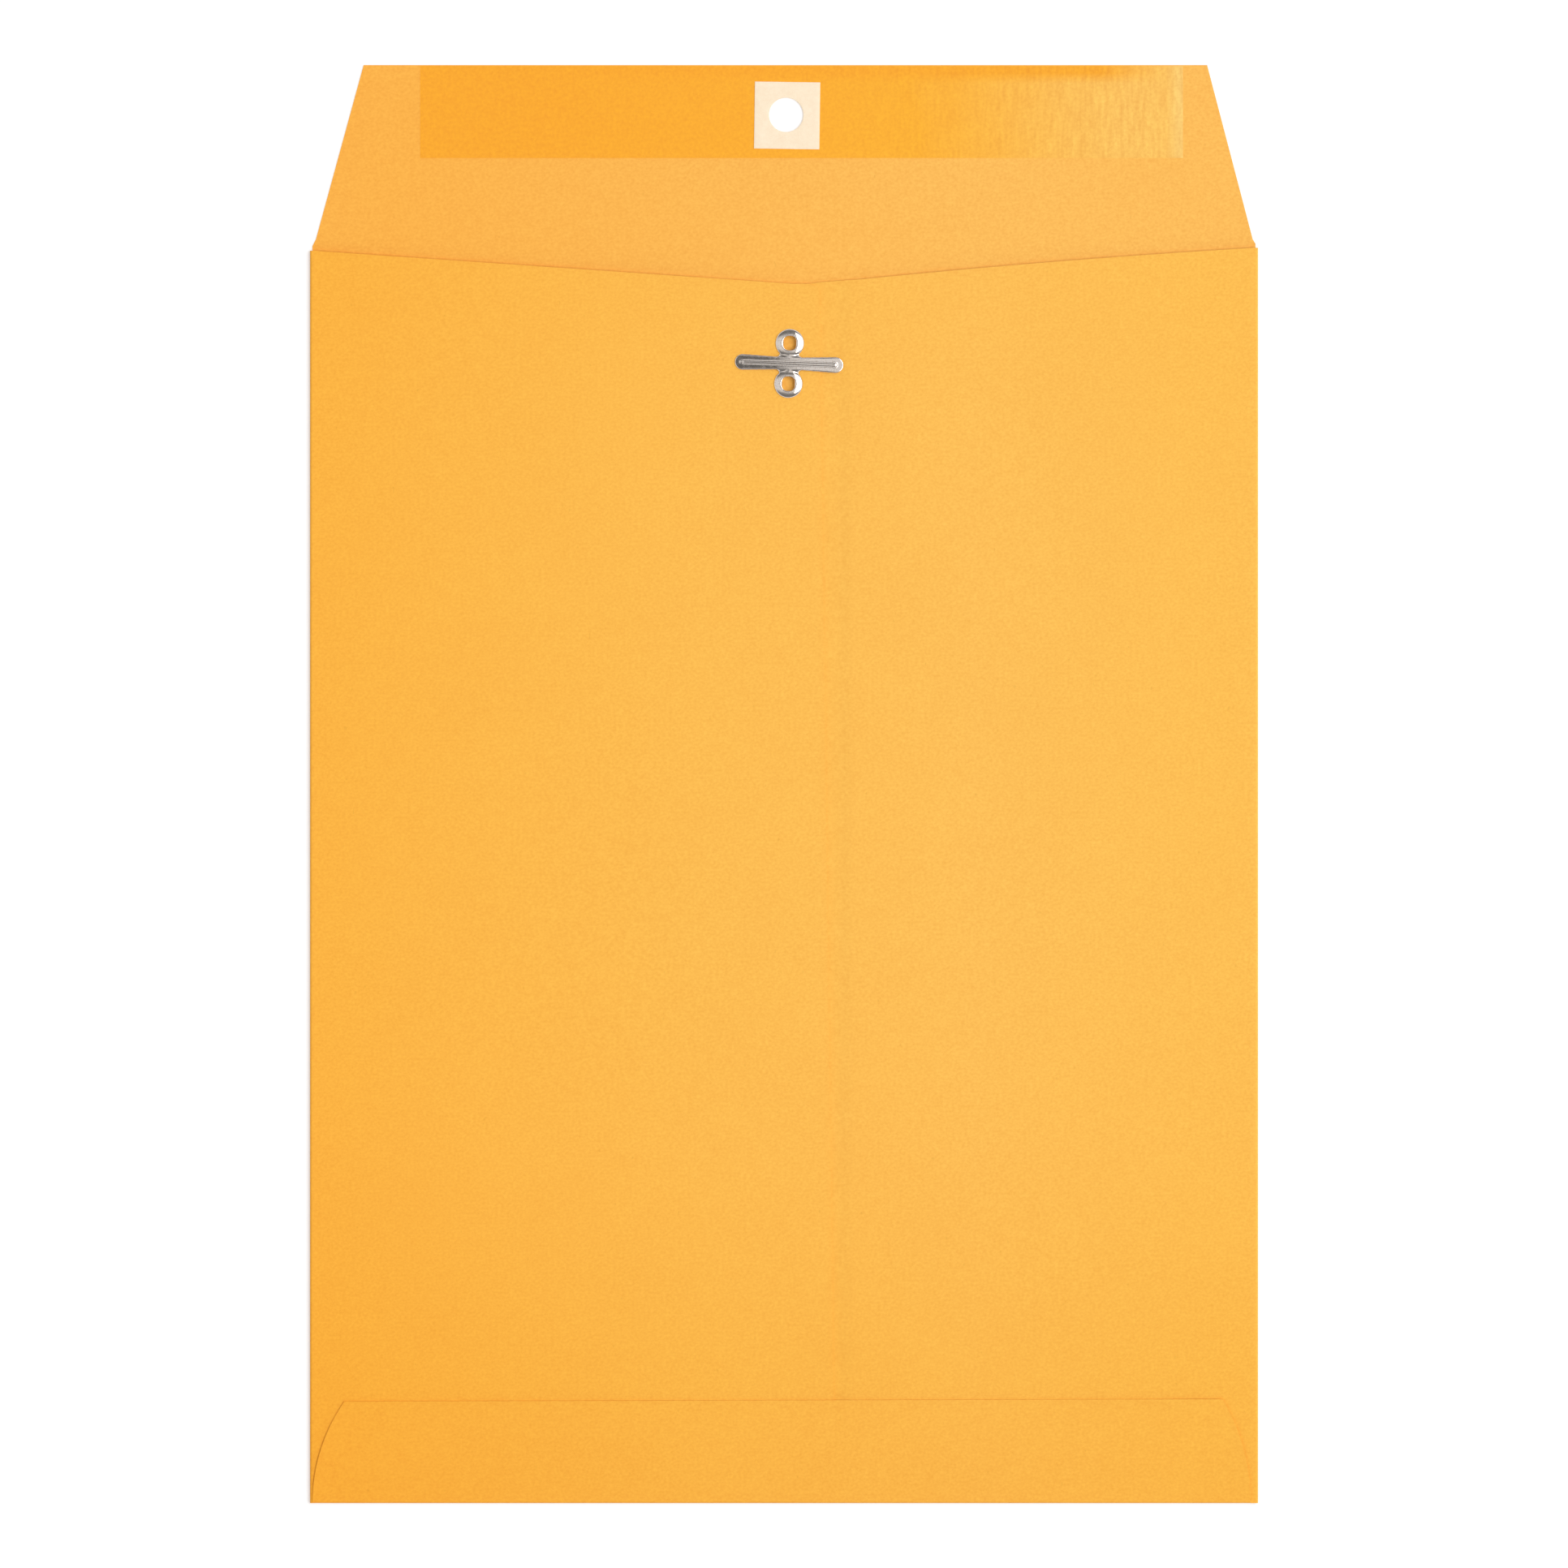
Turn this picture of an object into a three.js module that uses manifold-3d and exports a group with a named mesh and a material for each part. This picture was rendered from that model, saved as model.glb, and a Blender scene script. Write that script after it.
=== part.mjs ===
import * as THREE from 'three';
import { mergeVertices } from 'three/addons/utils/BufferGeometryUtils.js';
import Module from 'manifold-3d';

// Clasp envelope for filing, folded from one sheet of kraft paper, trade size 9 by 12 inches.
// It lies on its front panel with the seal flap folded open. Lengths are in millimetres.
// X runs across the envelope, Y from the bottom fold to the flap's edge, Z up out of the clasp side.
// The origin is the middle of the opened envelope, on the plane it lies on.

// Sheet and films
const PAPER_THICKNESS = 0.16;
const GLUE_THICKNESS = 0.04;
const GUM_THICKNESS = 0.03;
const PATCH_THICKNESS = 0.12;

// Folded envelope
const ENVELOPE_WIDTH = 228.6;
const ENVELOPE_HEIGHT = 304.8;
const POCKET_GAP = 0.8;
const LEFT_SHOULDER_DROP = 2.8;
const LEFT_SHOULDER_INSET = 1.4;
const RIGHT_SHOULDER_DROP = 2.1;
const RIGHT_SHOULDER_INSET = 1.25;

// Back panels: the left one laps over the right one, and their top edges make a shallow throat
const SEAM_TOP_X = 8.6;
const SEAM_BOTTOM_X = 12.3;
const SEAM_CLEARANCE = 0.3;
const TUCKED_WIDTH = 21.3;
const TUCK_RUN = 4.0;
const THROAT_DEPTH = 11.0;
const THROAT_CORNER_RUN = 1.2;
const THROAT_CORNER_DROP = 0.4;
const RIGHT_THROAT_BULGE = 1.0;
const PANEL_FOOT_GAP = 0.3;

// Bottom flap
const BOTTOM_FLAP_LEFT_HEIGHT = 24.5;
const BOTTOM_FLAP_RIGHT_HEIGHT = 25.1;
const BOTTOM_FLAP_LEFT_RADIUS = 43.0;
const BOTTOM_FLAP_RIGHT_RADIUS = 50.0;
const BOTTOM_FLAP_LEFT_INSET = 0.6;
const BOTTOM_FLAP_RIGHT_INSET = 1.7;

// Glue films
const SEAM_GLUE_INSET = 2.5;
const SEAM_GLUE_PAST_EYELET = 2.7;
const BOTTOM_GLUE_WIDTH = 9.0;
const BOTTOM_GLUE_INSET = 3.0;
const BOTTOM_GLUE_END_INSET = 8.0;

// Seal flap, open
const FLAP_LENGTH = 42.0;
const FLAP_LEFT_TAPER = 11.5;
const FLAP_RIGHT_TAPER = 11.0;
const HOLE_RADIUS = 4.15;
const HOLE_X = 0.5;
const HOLE_FROM_EDGE = 12.0;
const GUM_WIDTH = 184.0;
const GUM_OFFSET_X = 4.25;
const GUM_LEFT_DEPTH = 22.4;
const GUM_RIGHT_DEPTH = 21.9;
const GUM_EDGE_INSET = 0.2;
const PATCH_WIDTH = 15.9;
const PATCH_HEIGHT = 16.3;
const PATCH_OFFSET_X = 0.25;
const PATCH_OFFSET_Y = -0.15;
const PATCH_TURN_DEGREES = -0.8;

// Clasp: hub, two ring eyelets and two prongs, stamped from one tinned sheet
const CLASP_X = 1.23;
const CLASP_TURN_DEGREES = -2.0;
const CLASP_SHEET = 0.3;
const CLASP_SEAT_GAP = 0.02;
const HUB_WIDTH = 4.6;
const NECK_WIDTH = 4.2;
const EYELET_SPACING = 10.1;
const RING_RADIUS = 3.35;
const RING_BORE_RADIUS = 1.7;
const RING_HEIGHT = 0.85;
const BARREL_WALL = 0.25;
const BARREL_CLEARANCE = 0.3;
const CLINCH_RADIUS = 2.9;
const CLINCH_THICKNESS = 0.22;
const PRONG_REACH = 13.1;
const PRONG_TIP_WIDTH = 3.85;
const PRONG_ROOT_WIDTH = 3.05;
const PRONG_GAP = 0.05;
const RIB_WIDTH = 1.15;
const RIB_HEIGHT = 0.2;
const RIB_END_FROM_TIP = 2.2;
const BOSS_RADIUS = 0.6;
const BOSS_HEIGHT = 0.32;

// Cutting and meshing
const CUT_OVERRUN = 2.0;
const MERGE_DISTANCE = 0.0001;
const FOLD_STEPS = 8;
const FLAP_CURVE_STEPS = 12;
const HOLE_STEPS = 40;
const RING_STEPS = 28;
const DOME_STEPS = 8;
const TIP_STEPS = 12;
const RIB_STEPS = 6;

// Heights of the layers above the plane that the envelope lies on
const BACK_TOP_Z = 2 * PAPER_THICKNESS + POCKET_GAP;
const BACK_Z = BACK_TOP_Z - PAPER_THICKNESS;
const TUCK_STEP = PAPER_THICKNESS + GLUE_THICKNESS;
const TUCKED_TOP_Z = BACK_Z - GLUE_THICKNESS;
const TUCKED_Z = BACK_Z - TUCK_STEP;
const BOTTOM_FLAP_Z = BACK_TOP_Z + GLUE_THICKNESS;

// Creases
const SIDE_FOLD_RADIUS = BACK_TOP_Z / 2;
const BOTTOM_FOLD_RADIUS = (BOTTOM_FLAP_Z + PAPER_THICKNESS) / 2;
const LEFT_FOLD_X = SIDE_FOLD_RADIUS - ENVELOPE_WIDTH / 2;
const RIGHT_FOLD_X = ENVELOPE_WIDTH / 2 - SIDE_FOLD_RADIUS;
const PANEL_FOOT_Y = BOTTOM_FOLD_RADIUS + PANEL_FOOT_GAP;
const LEFT_SHOULDER_Y = ENVELOPE_HEIGHT - LEFT_SHOULDER_DROP;
const RIGHT_SHOULDER_Y = ENVELOPE_HEIGHT - RIGHT_SHOULDER_DROP;
const CREASE_LEFT_X = LEFT_SHOULDER_INSET - ENVELOPE_WIDTH / 2;
const CREASE_RIGHT_X = ENVELOPE_WIDTH / 2 - RIGHT_SHOULDER_INSET;
const HOLE_FROM_CREASE = FLAP_LENGTH - HOLE_FROM_EDGE;
const CLASP_Y = ENVELOPE_HEIGHT - HOLE_FROM_CREASE;
const TUCKED_X = SEAM_BOTTOM_X - TUCKED_WIDTH;
const THROAT_Y = ENVELOPE_HEIGHT - THROAT_DEPTH;
const BARREL_HOLE_RADIUS = RING_BORE_RADIUS + BARREL_WALL + BARREL_CLEARANCE;

const X_AXIS = new THREE.Vector3(1, 0, 0);
const Y_AXIS = new THREE.Vector3(0, 1, 0);
const Z_AXIS = new THREE.Vector3(0, 0, 1);

const wasm = await Module();
wasm.setup();

// Solids from closed meshes, and back
function solidOf(geometry) {
  const bare = geometry.clone();
  bare.deleteAttribute('normal');
  bare.deleteAttribute('uv');
  const merged = mergeVertices(bare, MERGE_DISTANCE);
  const mesh = new wasm.Mesh({
    numProp: 3,
    vertProperties: merged.attributes.position.array,
    triVerts: new Uint32Array(merged.index.array),
  });
  return new wasm.Manifold(mesh);
}

function geometryOf(solid) {
  const mesh = solid.getMesh();
  const geometry = new THREE.BufferGeometry();
  geometry.setAttribute('position', new THREE.BufferAttribute(mesh.vertProperties, 3));
  geometry.setIndex(new THREE.BufferAttribute(mesh.triVerts, 1));
  const faceted = geometry.toNonIndexed();
  faceted.computeVertexNormals();
  return faceted;
}

// Extrusions: along Z from a plan, along Y from a front profile, along X from a side profile
function slab(plan, bottom, thickness, steps = FOLD_STEPS) {
  const options = { depth: thickness, bevelEnabled: false, curveSegments: steps };
  return new THREE.ExtrudeGeometry(plan, options).translate(0, 0, bottom);
}

function alongY(profile, from, to, steps = FOLD_STEPS) {
  const options = { depth: to - from, bevelEnabled: false, curveSegments: steps };
  const turn = new THREE.Matrix4().makeBasis(X_AXIS, Z_AXIS, Y_AXIS.clone().negate());
  return new THREE.ExtrudeGeometry(profile, options).applyMatrix4(turn).translate(0, to, 0);
}

function alongX(profile, from, to, steps = FOLD_STEPS) {
  const options = { depth: to - from, bevelEnabled: false, curveSegments: steps };
  const turn = new THREE.Matrix4().makeBasis(Y_AXIS, Z_AXIS, X_AXIS);
  return new THREE.ExtrudeGeometry(profile, options).applyMatrix4(turn).translate(from, 0, 0);
}

function outline(points) {
  return new THREE.Shape(points.map(([x, y]) => new THREE.Vector2(x, y)));
}

function rectangle(left, bottom, right, top) {
  return outline([[left, bottom], [right, bottom], [right, top], [left, top]]);
}

function circle(x, y, radius) {
  return new THREE.Path().absarc(x, y, radius, 0, 2 * Math.PI, false);
}

// Finishes
function finish(color, roughness, metalness) {
  return new THREE.MeshStandardMaterial({ color, roughness, metalness });
}

function piece(name, geometry, material) {
  const mesh = new THREE.Mesh(geometry, material);
  mesh.name = name;
  return mesh;
}

function kraft() {
  return finish(0xfdbb50, 0.85, 0);
}

function driedGlue() {
  return finish(0xe8d9a8, 0.5, 0);
}

function tinnedSteel() {
  return finish(0xc4c2bf, 0.3, 1);
}

// Places on the clasp that the back panels also need
function eyeletPlaces() {
  const turn = THREE.MathUtils.degToRad(CLASP_TURN_DEGREES);
  const reach = EYELET_SPACING / 2;
  return [1, -1].map((side) => [
    CLASP_X - side * reach * Math.sin(turn),
    CLASP_Y + side * reach * Math.cos(turn),
  ]);
}

function barrelHoles() {
  return eyeletPlaces().map(([x, y]) => circle(x, y, BARREL_HOLE_RADIUS));
}

function seamX(y) {
  const share = (y - PANEL_FOOT_Y) / (THROAT_Y - PANEL_FOOT_Y);
  return SEAM_BOTTOM_X + share * (SEAM_TOP_X - SEAM_BOTTOM_X);
}

// Front panel: the face that the envelope lies on, with both top corners cut at a slant
function frontPanel() {
  const rise = LEFT_SHOULDER_DROP * SIDE_FOLD_RADIUS / LEFT_SHOULDER_INSET;
  const rightRise = RIGHT_SHOULDER_DROP * SIDE_FOLD_RADIUS / RIGHT_SHOULDER_INSET;
  const plan = outline([
    [LEFT_FOLD_X, BOTTOM_FOLD_RADIUS],
    [RIGHT_FOLD_X, BOTTOM_FOLD_RADIUS],
    [RIGHT_FOLD_X, RIGHT_SHOULDER_Y + rightRise],
    [CREASE_RIGHT_X, ENVELOPE_HEIGHT],
    [CREASE_LEFT_X, ENVELOPE_HEIGHT],
    [LEFT_FOLD_X, LEFT_SHOULDER_Y + rise],
  ]);
  return piece('front_panel', slab(plan, 0, PAPER_THICKNESS), kraft());
}

// Side creases: the paper turns round a half circle from the front panel to a back panel
function sideFold(name, centreX, startAngle, top) {
  const inner = SIDE_FOLD_RADIUS - PAPER_THICKNESS;
  const end = startAngle + Math.PI;
  const profile = new THREE.Shape();
  profile.absarc(centreX, SIDE_FOLD_RADIUS, SIDE_FOLD_RADIUS, startAngle, end, false);
  profile.absarc(centreX, SIDE_FOLD_RADIUS, inner, end, startAngle, true);
  return piece(name, alongY(profile, PANEL_FOOT_Y, top), kraft());
}

// Bottom crease: the same turn, round the feet of both back panels
function bottomFold() {
  const inner = BOTTOM_FOLD_RADIUS - PAPER_THICKNESS;
  const start = Math.PI / 2;
  const end = 3 * Math.PI / 2;
  const profile = new THREE.Shape();
  profile.absarc(BOTTOM_FOLD_RADIUS, BOTTOM_FOLD_RADIUS, BOTTOM_FOLD_RADIUS, start, end, false);
  profile.absarc(BOTTOM_FOLD_RADIUS, BOTTOM_FOLD_RADIUS, inner, end, start, true);
  return piece('bottom_fold', alongX(profile, LEFT_FOLD_X, RIGHT_FOLD_X), kraft());
}

// Left back panel: outside at the seam, pierced for the clasp
function leftBackPanel() {
  const plan = outline([
    [LEFT_FOLD_X, PANEL_FOOT_Y],
    [SEAM_BOTTOM_X, PANEL_FOOT_Y],
    [SEAM_TOP_X, THROAT_Y - THROAT_CORNER_DROP],
    [SEAM_TOP_X - THROAT_CORNER_RUN, THROAT_Y],
    [LEFT_FOLD_X, LEFT_SHOULDER_Y],
  ]);
  plan.holes = barrelHoles();
  return piece('left_back_panel', slab(plan, BACK_Z, PAPER_THICKNESS, HOLE_STEPS), kraft());
}

// Right back panel: steps down one sheet where it runs on under the left one
function rightBackPanel() {
  const stepStart = SEAM_BOTTOM_X + SEAM_CLEARANCE;
  const stepEnd = stepStart + TUCK_RUN;
  const profile = outline([
    [TUCKED_X, TUCKED_Z],
    [stepStart, TUCKED_Z],
    [stepEnd, BACK_Z],
    [RIGHT_FOLD_X, BACK_Z],
    [RIGHT_FOLD_X, BACK_TOP_Z],
    [stepEnd, BACK_TOP_Z],
    [stepStart, TUCKED_TOP_Z],
    [TUCKED_X, TUCKED_TOP_Z],
  ]);
  const middleX = (SEAM_TOP_X + RIGHT_FOLD_X) / 2;
  const middleY = (THROAT_Y + RIGHT_SHOULDER_Y) / 2;
  const plan = new THREE.Shape();
  plan.moveTo(TUCKED_X, PANEL_FOOT_Y);
  plan.lineTo(RIGHT_FOLD_X, PANEL_FOOT_Y);
  plan.lineTo(RIGHT_FOLD_X, RIGHT_SHOULDER_Y);
  plan.quadraticCurveTo(middleX, middleY + RIGHT_THROAT_BULGE, SEAM_TOP_X, THROAT_Y);
  plan.lineTo(TUCKED_X, THROAT_Y - THROAT_CORNER_DROP);
  plan.closePath();
  plan.holes = barrelHoles();
  const depth = BACK_TOP_Z - TUCKED_Z + 2 * CUT_OVERRUN;
  const cutter = solidOf(slab(plan, TUCKED_Z - CUT_OVERRUN, depth, HOLE_STEPS));
  const sheet = solidOf(alongY(profile, PANEL_FOOT_Y - CUT_OVERRUN, ENVELOPE_HEIGHT));
  return piece('right_back_panel', geometryOf(sheet.intersect(cutter)), kraft());
}

// Bottom flap: outermost, its sides run in as arcs from the bottom fold
function bottomFlapPlan() {
  const leftFootX = BOTTOM_FLAP_LEFT_INSET - ENVELOPE_WIDTH / 2;
  const rightFootX = ENVELOPE_WIDTH / 2 - BOTTOM_FLAP_RIGHT_INSET;
  const footAngle = (radius) => Math.asin(BOTTOM_FOLD_RADIUS / radius);
  const rightTurn = Math.asin(BOTTOM_FLAP_RIGHT_HEIGHT / BOTTOM_FLAP_RIGHT_RADIUS);
  const leftTurn = Math.PI - Math.asin(BOTTOM_FLAP_LEFT_HEIGHT / BOTTOM_FLAP_LEFT_RADIUS);
  const plan = new THREE.Shape();
  plan.absarc(
    rightFootX - BOTTOM_FLAP_RIGHT_RADIUS, 0, BOTTOM_FLAP_RIGHT_RADIUS,
    footAngle(BOTTOM_FLAP_RIGHT_RADIUS), rightTurn, false,
  );
  plan.absarc(
    leftFootX + BOTTOM_FLAP_LEFT_RADIUS, 0, BOTTOM_FLAP_LEFT_RADIUS,
    leftTurn, Math.PI - footAngle(BOTTOM_FLAP_LEFT_RADIUS), false,
  );
  plan.closePath();
  return plan;
}

function bottomFlap() {
  const sheet = slab(bottomFlapPlan(), BOTTOM_FLAP_Z, PAPER_THICKNESS, FLAP_CURVE_STEPS);
  return piece('bottom_flap', sheet, kraft());
}

// Glue films between the lapped sheets
function seamGlue() {
  const [[, upperEyeletY]] = eyeletPlaces();
  const top = upperEyeletY + BARREL_HOLE_RADIUS + SEAM_GLUE_PAST_EYELET;
  const left = TUCKED_X + SEAM_GLUE_INSET;
  const plan = outline([
    [left, PANEL_FOOT_Y],
    [seamX(PANEL_FOOT_Y) - SEAM_GLUE_INSET, PANEL_FOOT_Y],
    [seamX(top) - SEAM_GLUE_INSET, top],
    [left, top],
  ]);
  plan.holes = barrelHoles();
  return piece('seam_glue', slab(plan, TUCKED_TOP_Z, GLUE_THICKNESS, HOLE_STEPS), driedGlue());
}

function bottomGlue() {
  const left = BOTTOM_GLUE_END_INSET + BOTTOM_FLAP_LEFT_INSET - ENVELOPE_WIDTH / 2;
  const right = ENVELOPE_WIDTH / 2 - BOTTOM_FLAP_RIGHT_INSET - BOTTOM_GLUE_END_INSET;
  const top = BOTTOM_FLAP_LEFT_HEIGHT - BOTTOM_GLUE_INSET;
  const plan = rectangle(left, top - BOTTOM_GLUE_WIDTH, right, top);
  return piece('bottom_glue', slab(plan, BACK_TOP_Z, GLUE_THICKNESS), driedGlue());
}

// Seal flap and what it carries, measured up from the crease
function sealFlap() {
  const plan = outline([
    [CREASE_LEFT_X, 0],
    [CREASE_RIGHT_X, 0],
    [CREASE_RIGHT_X - FLAP_RIGHT_TAPER, FLAP_LENGTH],
    [CREASE_LEFT_X + FLAP_LEFT_TAPER, FLAP_LENGTH],
  ]);
  plan.holes = [circle(HOLE_X, HOLE_FROM_CREASE, HOLE_RADIUS)];
  return piece('seal_flap', slab(plan, 0, PAPER_THICKNESS, HOLE_STEPS), kraft());
}

function gumStrip() {
  const left = GUM_OFFSET_X - GUM_WIDTH / 2;
  const right = GUM_OFFSET_X + GUM_WIDTH / 2;
  const plan = outline([
    [left, FLAP_LENGTH - GUM_LEFT_DEPTH],
    [right, FLAP_LENGTH - GUM_RIGHT_DEPTH],
    [right, FLAP_LENGTH - GUM_EDGE_INSET],
    [left, FLAP_LENGTH - GUM_EDGE_INSET],
  ]);
  plan.holes = [circle(HOLE_X, HOLE_FROM_CREASE, HOLE_RADIUS)];
  const film = slab(plan, PAPER_THICKNESS, GUM_THICKNESS, HOLE_STEPS);
  return piece('gum_strip', film, finish(0xfaac34, 0.35, 0));
}

function holePatch() {
  const plan = rectangle(-PATCH_WIDTH / 2, -PATCH_HEIGHT / 2, PATCH_WIDTH / 2, PATCH_HEIGHT / 2);
  const turn = THREE.MathUtils.degToRad(PATCH_TURN_DEGREES);
  const holePlace = new THREE.Vector2(-PATCH_OFFSET_X, -PATCH_OFFSET_Y);
  holePlace.rotateAround(new THREE.Vector2(0, 0), -turn);
  plan.holes = [circle(holePlace.x, holePlace.y, HOLE_RADIUS)];
  const patch = slab(plan, PAPER_THICKNESS + GUM_THICKNESS, PATCH_THICKNESS, HOLE_STEPS);
  const mesh = piece('hole_patch', patch, finish(0xfdebcf, 0.7, 0));
  mesh.position.set(HOLE_X + PATCH_OFFSET_X, HOLE_FROM_CREASE + PATCH_OFFSET_Y, 0);
  mesh.rotation.z = turn;
  return mesh;
}

// Clasp, measured from its middle and up from its seat on the left back panel
function ringEyelet(y) {
  const panelStack = 2 * PAPER_THICKNESS + GLUE_THICKNESS + 2 * CLASP_SEAT_GAP;
  const barrelRadius = RING_BORE_RADIUS + BARREL_WALL;
  const middle = (RING_RADIUS + RING_BORE_RADIUS) / 2;
  const halfWidth = (RING_RADIUS - RING_BORE_RADIUS) / 2;
  const profile = [
    [RING_BORE_RADIUS, -panelStack - CLINCH_THICKNESS],
    [CLINCH_RADIUS, -panelStack - CLINCH_THICKNESS],
    [CLINCH_RADIUS, -panelStack],
    [barrelRadius, -panelStack],
    [barrelRadius, 0],
  ];
  for (let step = 0; step <= DOME_STEPS; step += 1) {
    const angle = Math.PI * step / DOME_STEPS;
    profile.push([middle + halfWidth * Math.cos(angle), RING_HEIGHT * Math.sin(angle)]);
  }
  profile.push(profile[0]);
  const points = profile.map(([radius, height]) => new THREE.Vector2(radius, height));
  const lathe = new THREE.LatheGeometry(points, RING_STEPS);
  return lathe.rotateX(Math.PI / 2).translate(0, y, 0);
}

function eyeletBore(y) {
  const length = 2 * (RING_HEIGHT + CUT_OVERRUN);
  const bore = new THREE.CylinderGeometry(RING_BORE_RADIUS, RING_BORE_RADIUS, length, RING_STEPS);
  return bore.rotateX(Math.PI / 2).translate(0, y, 0);
}

function rib(from, to) {
  const profile = new THREE.Shape();
  profile.moveTo(-RIB_WIDTH / 2, CLASP_SHEET / 2);
  profile.lineTo(RIB_WIDTH / 2, CLASP_SHEET / 2);
  profile.lineTo(RIB_WIDTH / 2, CLASP_SHEET);
  profile.absellipse(0, CLASP_SHEET, RIB_WIDTH / 2, RIB_HEIGHT, 0, Math.PI, false, 0);
  profile.closePath();
  return alongX(profile, from, to, RIB_STEPS);
}

function hubPlan() {
  const half = EYELET_SPACING / 2;
  const bar = PRONG_ROOT_WIDTH / 2;
  const neckY = half - RING_RADIUS + CLASP_SHEET;
  const right = [
    [NECK_WIDTH / 2, -half],
    [NECK_WIDTH / 2, -neckY],
    [HUB_WIDTH / 2, -bar],
    [HUB_WIDTH / 2, bar],
    [NECK_WIDTH / 2, neckY],
    [NECK_WIDTH / 2, half],
  ];
  const left = right.map(([x, y]) => [-x, y]).reverse();
  return outline([...right, ...left]);
}

function claspBase() {
  const reach = EYELET_SPACING / 2;
  let base = solidOf(slab(hubPlan(), 0, CLASP_SHEET));
  base = base.add(solidOf(rib(-HUB_WIDTH / 2, HUB_WIDTH / 2)));
  for (const y of [reach, -reach]) {
    base = base.subtract(solidOf(eyeletBore(y)));
    base = base.add(solidOf(ringEyelet(y)));
  }
  return piece('clasp_base', geometryOf(base), tinnedSteel());
}

// Prong: a tapering tongue with a round tip, a stiffening rib and a small round boss near its tip
function prong(name, side) {
  const root = HUB_WIDTH / 2 + PRONG_GAP;
  const tipRadius = PRONG_TIP_WIDTH / 2;
  const tipCentre = PRONG_REACH - tipRadius;
  const plan = new THREE.Shape();
  plan.moveTo(root, -PRONG_ROOT_WIDTH / 2);
  plan.absarc(tipCentre, 0, tipRadius, -Math.PI / 2, Math.PI / 2, false);
  plan.lineTo(root, PRONG_ROOT_WIDTH / 2);
  plan.closePath();
  const ribEnd = PRONG_REACH - RIB_END_FROM_TIP;
  const boss = new THREE.SphereGeometry(BOSS_RADIUS, TIP_STEPS, DOME_STEPS);
  boss.rotateX(Math.PI / 2);
  boss.scale(1, 1, BOSS_HEIGHT / BOSS_RADIUS);
  boss.translate(ribEnd, 0, CLASP_SHEET);
  const floor = slab(rectangle(root, -tipRadius, PRONG_REACH, tipRadius), 0, RING_HEIGHT);
  let tongue = solidOf(slab(plan, 0, CLASP_SHEET, TIP_STEPS));
  tongue = tongue.add(solidOf(rib(root, ribEnd)));
  tongue = tongue.add(solidOf(boss)).intersect(solidOf(floor));
  const geometry = geometryOf(tongue);
  if (side < 0) {
    geometry.rotateZ(Math.PI);
  }
  return piece(name, geometry, tinnedSteel());
}

function clasp() {
  const group = new THREE.Group();
  group.position.set(CLASP_X, CLASP_Y, BACK_TOP_Z + CLASP_SEAT_GAP);
  group.rotation.z = THREE.MathUtils.degToRad(CLASP_TURN_DEGREES);
  group.add(claspBase(), prong('clasp_left_prong', -1), prong('clasp_right_prong', 1));
  return group;
}

function flap() {
  const group = new THREE.Group();
  group.position.set(0, ENVELOPE_HEIGHT, 0);
  group.add(sealFlap(), gumStrip(), holePatch());
  return group;
}

const envelope = new THREE.Group();
envelope.position.set(0, -(ENVELOPE_HEIGHT + FLAP_LENGTH) / 2, 0);
envelope.add(
  frontPanel(),
  sideFold('left_side_fold', LEFT_FOLD_X, Math.PI / 2, LEFT_SHOULDER_Y),
  sideFold('right_side_fold', RIGHT_FOLD_X, -Math.PI / 2, RIGHT_SHOULDER_Y),
  bottomFold(),
  leftBackPanel(),
  rightBackPanel(),
  bottomFlap(),
  seamGlue(),
  bottomGlue(),
  flap(),
  clasp(),
);

const part = new THREE.Group();
part.add(envelope);

export default part;
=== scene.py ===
"""Dressed model of an open kraft clasp envelope for filing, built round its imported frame."""

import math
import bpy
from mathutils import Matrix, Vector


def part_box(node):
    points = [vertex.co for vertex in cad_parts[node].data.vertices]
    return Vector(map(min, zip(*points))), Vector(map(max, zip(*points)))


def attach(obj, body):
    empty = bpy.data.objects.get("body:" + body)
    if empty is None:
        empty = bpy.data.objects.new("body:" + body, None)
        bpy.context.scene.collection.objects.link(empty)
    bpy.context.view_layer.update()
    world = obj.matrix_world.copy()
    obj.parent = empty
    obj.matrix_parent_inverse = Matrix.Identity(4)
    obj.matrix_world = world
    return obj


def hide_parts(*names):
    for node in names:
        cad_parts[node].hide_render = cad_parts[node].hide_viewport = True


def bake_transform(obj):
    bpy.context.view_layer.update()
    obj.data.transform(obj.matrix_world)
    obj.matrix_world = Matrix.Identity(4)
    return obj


bl_info = {
    "name": "Clasp Envelope",
    "version": (1, 0, 0),
    "blender": (4, 5, 0),
    "location": "3D View > Sidebar > Envelope",
    "description": "Builds a kraft clasp envelope, open at its seal flap, round a packed frame",
    "category": "Object",
}

import bpy
from mathutils import Vector

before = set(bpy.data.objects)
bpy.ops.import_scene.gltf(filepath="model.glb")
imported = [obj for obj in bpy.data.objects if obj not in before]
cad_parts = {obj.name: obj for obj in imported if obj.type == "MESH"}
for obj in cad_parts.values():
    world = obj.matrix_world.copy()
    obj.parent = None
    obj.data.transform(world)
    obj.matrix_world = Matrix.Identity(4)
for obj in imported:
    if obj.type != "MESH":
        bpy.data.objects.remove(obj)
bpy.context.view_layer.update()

MM = 0.001
CUT_TOLERANCE = 0.001 * MM
PICK_TOLERANCE = 0.01 * MM

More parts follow.
